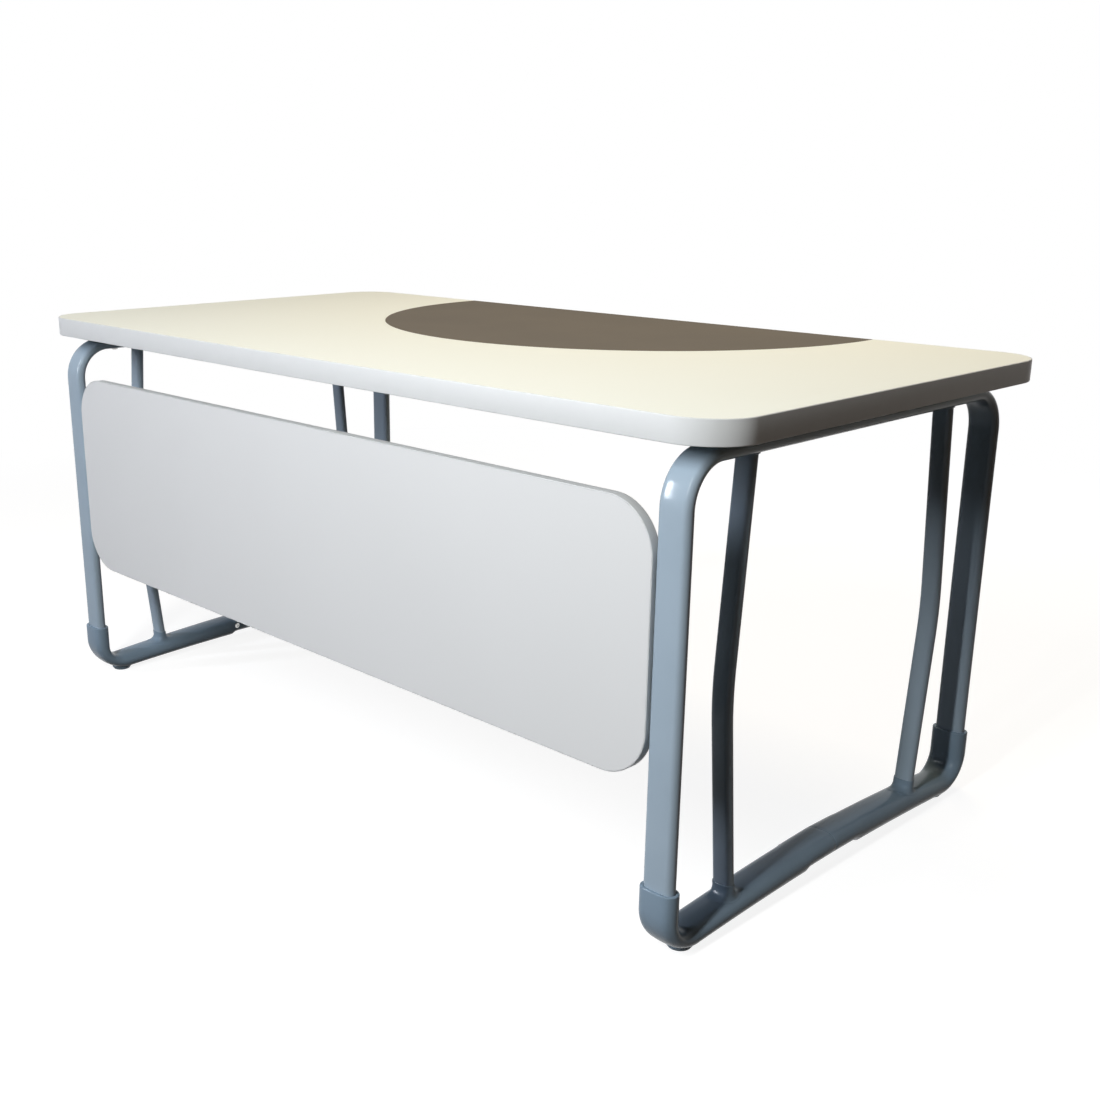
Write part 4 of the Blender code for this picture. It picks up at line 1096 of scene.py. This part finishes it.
# Studio: a pale floor that fades to white a few metres out, and a white surround. Both are
# white only to the camera, to gloss and to glass, and light the desk no more than a dim room.
FLOOR_HALF_SIZE = 40.0
SHADOW_REACH = 1.6
FADE_LENGTH = 1.4
FLOOR_GLOW = 0.88
ROOM_GLOW = 0.01


def ray_mask(tree):
    """1 for a ray that shows the background: from the camera, a glossy or a clear surface."""
    path = add_node(tree, "ShaderNodeLightPath")
    glossy = add_node(
        tree,
        "ShaderNodeMath",
        {0: path.outputs["Is Glossy Ray"], 1: path.outputs["Is Transmission Ray"]},
        operation="MAXIMUM",
    )
    seen = add_node(
        tree,
        "ShaderNodeMath",
        {0: path.outputs["Is Camera Ray"], 1: glossy.outputs[0]},
        operation="MAXIMUM",
    )
    return seen.outputs[0]


def pale_floor():
    """A floor that glows almost white and takes a soft shadow near the desk, and is plain
    white further out. Rays that light the desk meet a dim one, so little bounces up."""
    material = bpy.data.materials.new("studio_floor")
    material.use_nodes = True
    tree = material.node_tree
    tree.nodes.clear()
    place = add_node(tree, "ShaderNodeTexCoord").outputs["Object"]
    far = add_node(tree, "ShaderNodeVectorMath", {0: place}, operation="LENGTH")
    fade = add_node(
        tree,
        "ShaderNodeMapRange",
        {0: far.outputs["Value"], 1: SHADOW_REACH, 2: SHADOW_REACH + FADE_LENGTH},
        interpolation_type="SMOOTHSTEP",
    )
    white = add_node(tree, "ShaderNodeEmission", {"Strength": 1.0})
    glow = add_node(tree, "ShaderNodeEmission", {"Strength": FLOOR_GLOW})
    matt = add_node(tree, "ShaderNodeBsdfDiffuse", {"Color": colour("#8A8A8A")})
    lit = add_node(tree, "ShaderNodeAddShader", {0: glow.outputs[0], 1: matt.outputs[0]})
    near_and_far = {0: fade.outputs[0], 1: lit.outputs[0], 2: white.outputs[0]}
    shown = add_node(tree, "ShaderNodeMixShader", near_and_far)
    dim = add_node(tree, "ShaderNodeBsdfDiffuse", {"Color": colour("#302C27")})
    lit_and_seen = {0: ray_mask(tree), 1: dim.outputs[0], 2: shown.outputs[0]}
    chosen = add_node(tree, "ShaderNodeMixShader", lit_and_seen)
    add_node(tree, "ShaderNodeOutputMaterial", {"Surface": chosen.outputs[0]})
    return material


floor_mesh = bpy.data.meshes.new("floor")
signs = ((-1, -1), (1, -1), (1, 1), (-1, 1))
corners = [(x * FLOOR_HALF_SIZE, y * FLOOR_HALF_SIZE, 0) for x, y in signs]
floor_mesh.from_pydata(corners, [], [(0, 1, 2, 3)])
floor_mesh.materials.append(pale_floor())
floor = bpy.data.objects.new("floor", floor_mesh)
bpy.context.scene.collection.objects.link(floor)

world = bpy.data.worlds.new("studio")
bpy.context.scene.world = world
world.use_nodes = True
sky = world.node_tree
sky.nodes.clear()
white = add_node(sky, "ShaderNodeBackground", {"Color": colour("#FFFFFF"), "Strength": 1.0})
room = add_node(sky, "ShaderNodeBackground", {"Color": colour("#FFE2BC"), "Strength": ROOM_GLOW})
lit_and_seen = {0: ray_mask(sky), 1: room.outputs[0], 2: white.outputs[0]}
mixed = add_node(sky, "ShaderNodeMixShader", lit_and_seen)
add_node(sky, "ShaderNodeOutputWorld", {"Surface": mixed.outputs[0]})


def area_light(name, place, aim, width, height, power, code):
    """A soft rectangular lamp at a place, turned to a point."""
    lamp = bpy.data.lights.new(name, "AREA")
    lamp.shape = "RECTANGLE"
    lamp.size = width
    lamp.size_y = height
    lamp.energy = power
    lamp.color = colour(code)[:3]
    holder = bpy.data.objects.new(name, lamp)
    holder.location = place
    holder.rotation_euler = (Vector(aim) - Vector(place)).to_track_quat("-Z", "Y").to_euler()
    bpy.context.scene.collection.objects.link(holder)
    return holder


# The key: a narrow, tall lamp in front, which leaves the right side of the desk dark.
area_light("right_strip", (0.84, -2.4, 2.05), (0.3, -0.4, 0.6), 0.06, 1.7, 69, "#FDFFFE")
# A softer, cooler lamp from the left evens out the panel and the left leg.
left_strip = area_light("left_strip", (-2.15, -3.17, 2.0), (0, -0.4, 0.6), 0.23, 1.4, 54, "#F0F3FF")
left_strip.visible_glossy = False
# A window seen only in gloss: the bright spot on the bend of the near post. Its roll turns
# the spot upright.
window_place, window_aim = (-1.01, -2.05, 1.38), (0.73, -0.4, 0.6)
gloss_strip = area_light("gloss_strip", window_place, window_aim, 0.26, 1.1, 145, "#F4F8FF")
gloss_strip.rotation_euler.rotate_axis("Z", math.radians(17))
gloss_strip.visible_diffuse = False
# The warm ceiling light that turns the laminate cream.
area_light("warm_overhead", (0.05, 0.8, 2.6), (0.05, 0.56, 0.7), 0.8, 0.8, 25, "#FFEBC8")
# A weak warm fill for the right side, and a white one from behind for the views from there.
side_fill = area_light("side_fill", (4.2, 1.0, 1.3), (0.8, 0, 0.4), 1.2, 1.2, 3.2, "#FFC684")
side_fill.visible_glossy = False
rear_fill = area_light("rear_fill", (-0.9, 3.4, 0.9), (0, 0.4, 0.4), 1.6, 0.7, 26, "#FFFFFF")
rear_fill.visible_glossy = False

# Camera: the photograph's view, from the visitor's right and a little above the top. The lens
# and its shift come from a fit to the edges of the top, the panel and the legs.
camera = bpy.data.cameras.new("camera")
camera.lens = 44.39
camera.sensor_width = 36.0
camera.shift_x = 0.0738
camera.shift_y = 0.0271
view = bpy.data.objects.new("camera", camera)
view.location = (1.6872, -1.6393, 0.9911)
view.rotation_euler = (math.pi / 2 - 0.2943, 0, 0.8113)
bpy.context.scene.collection.objects.link(view)
bpy.context.scene.camera = view
bpy.context.scene.view_settings.view_transform = "Standard"
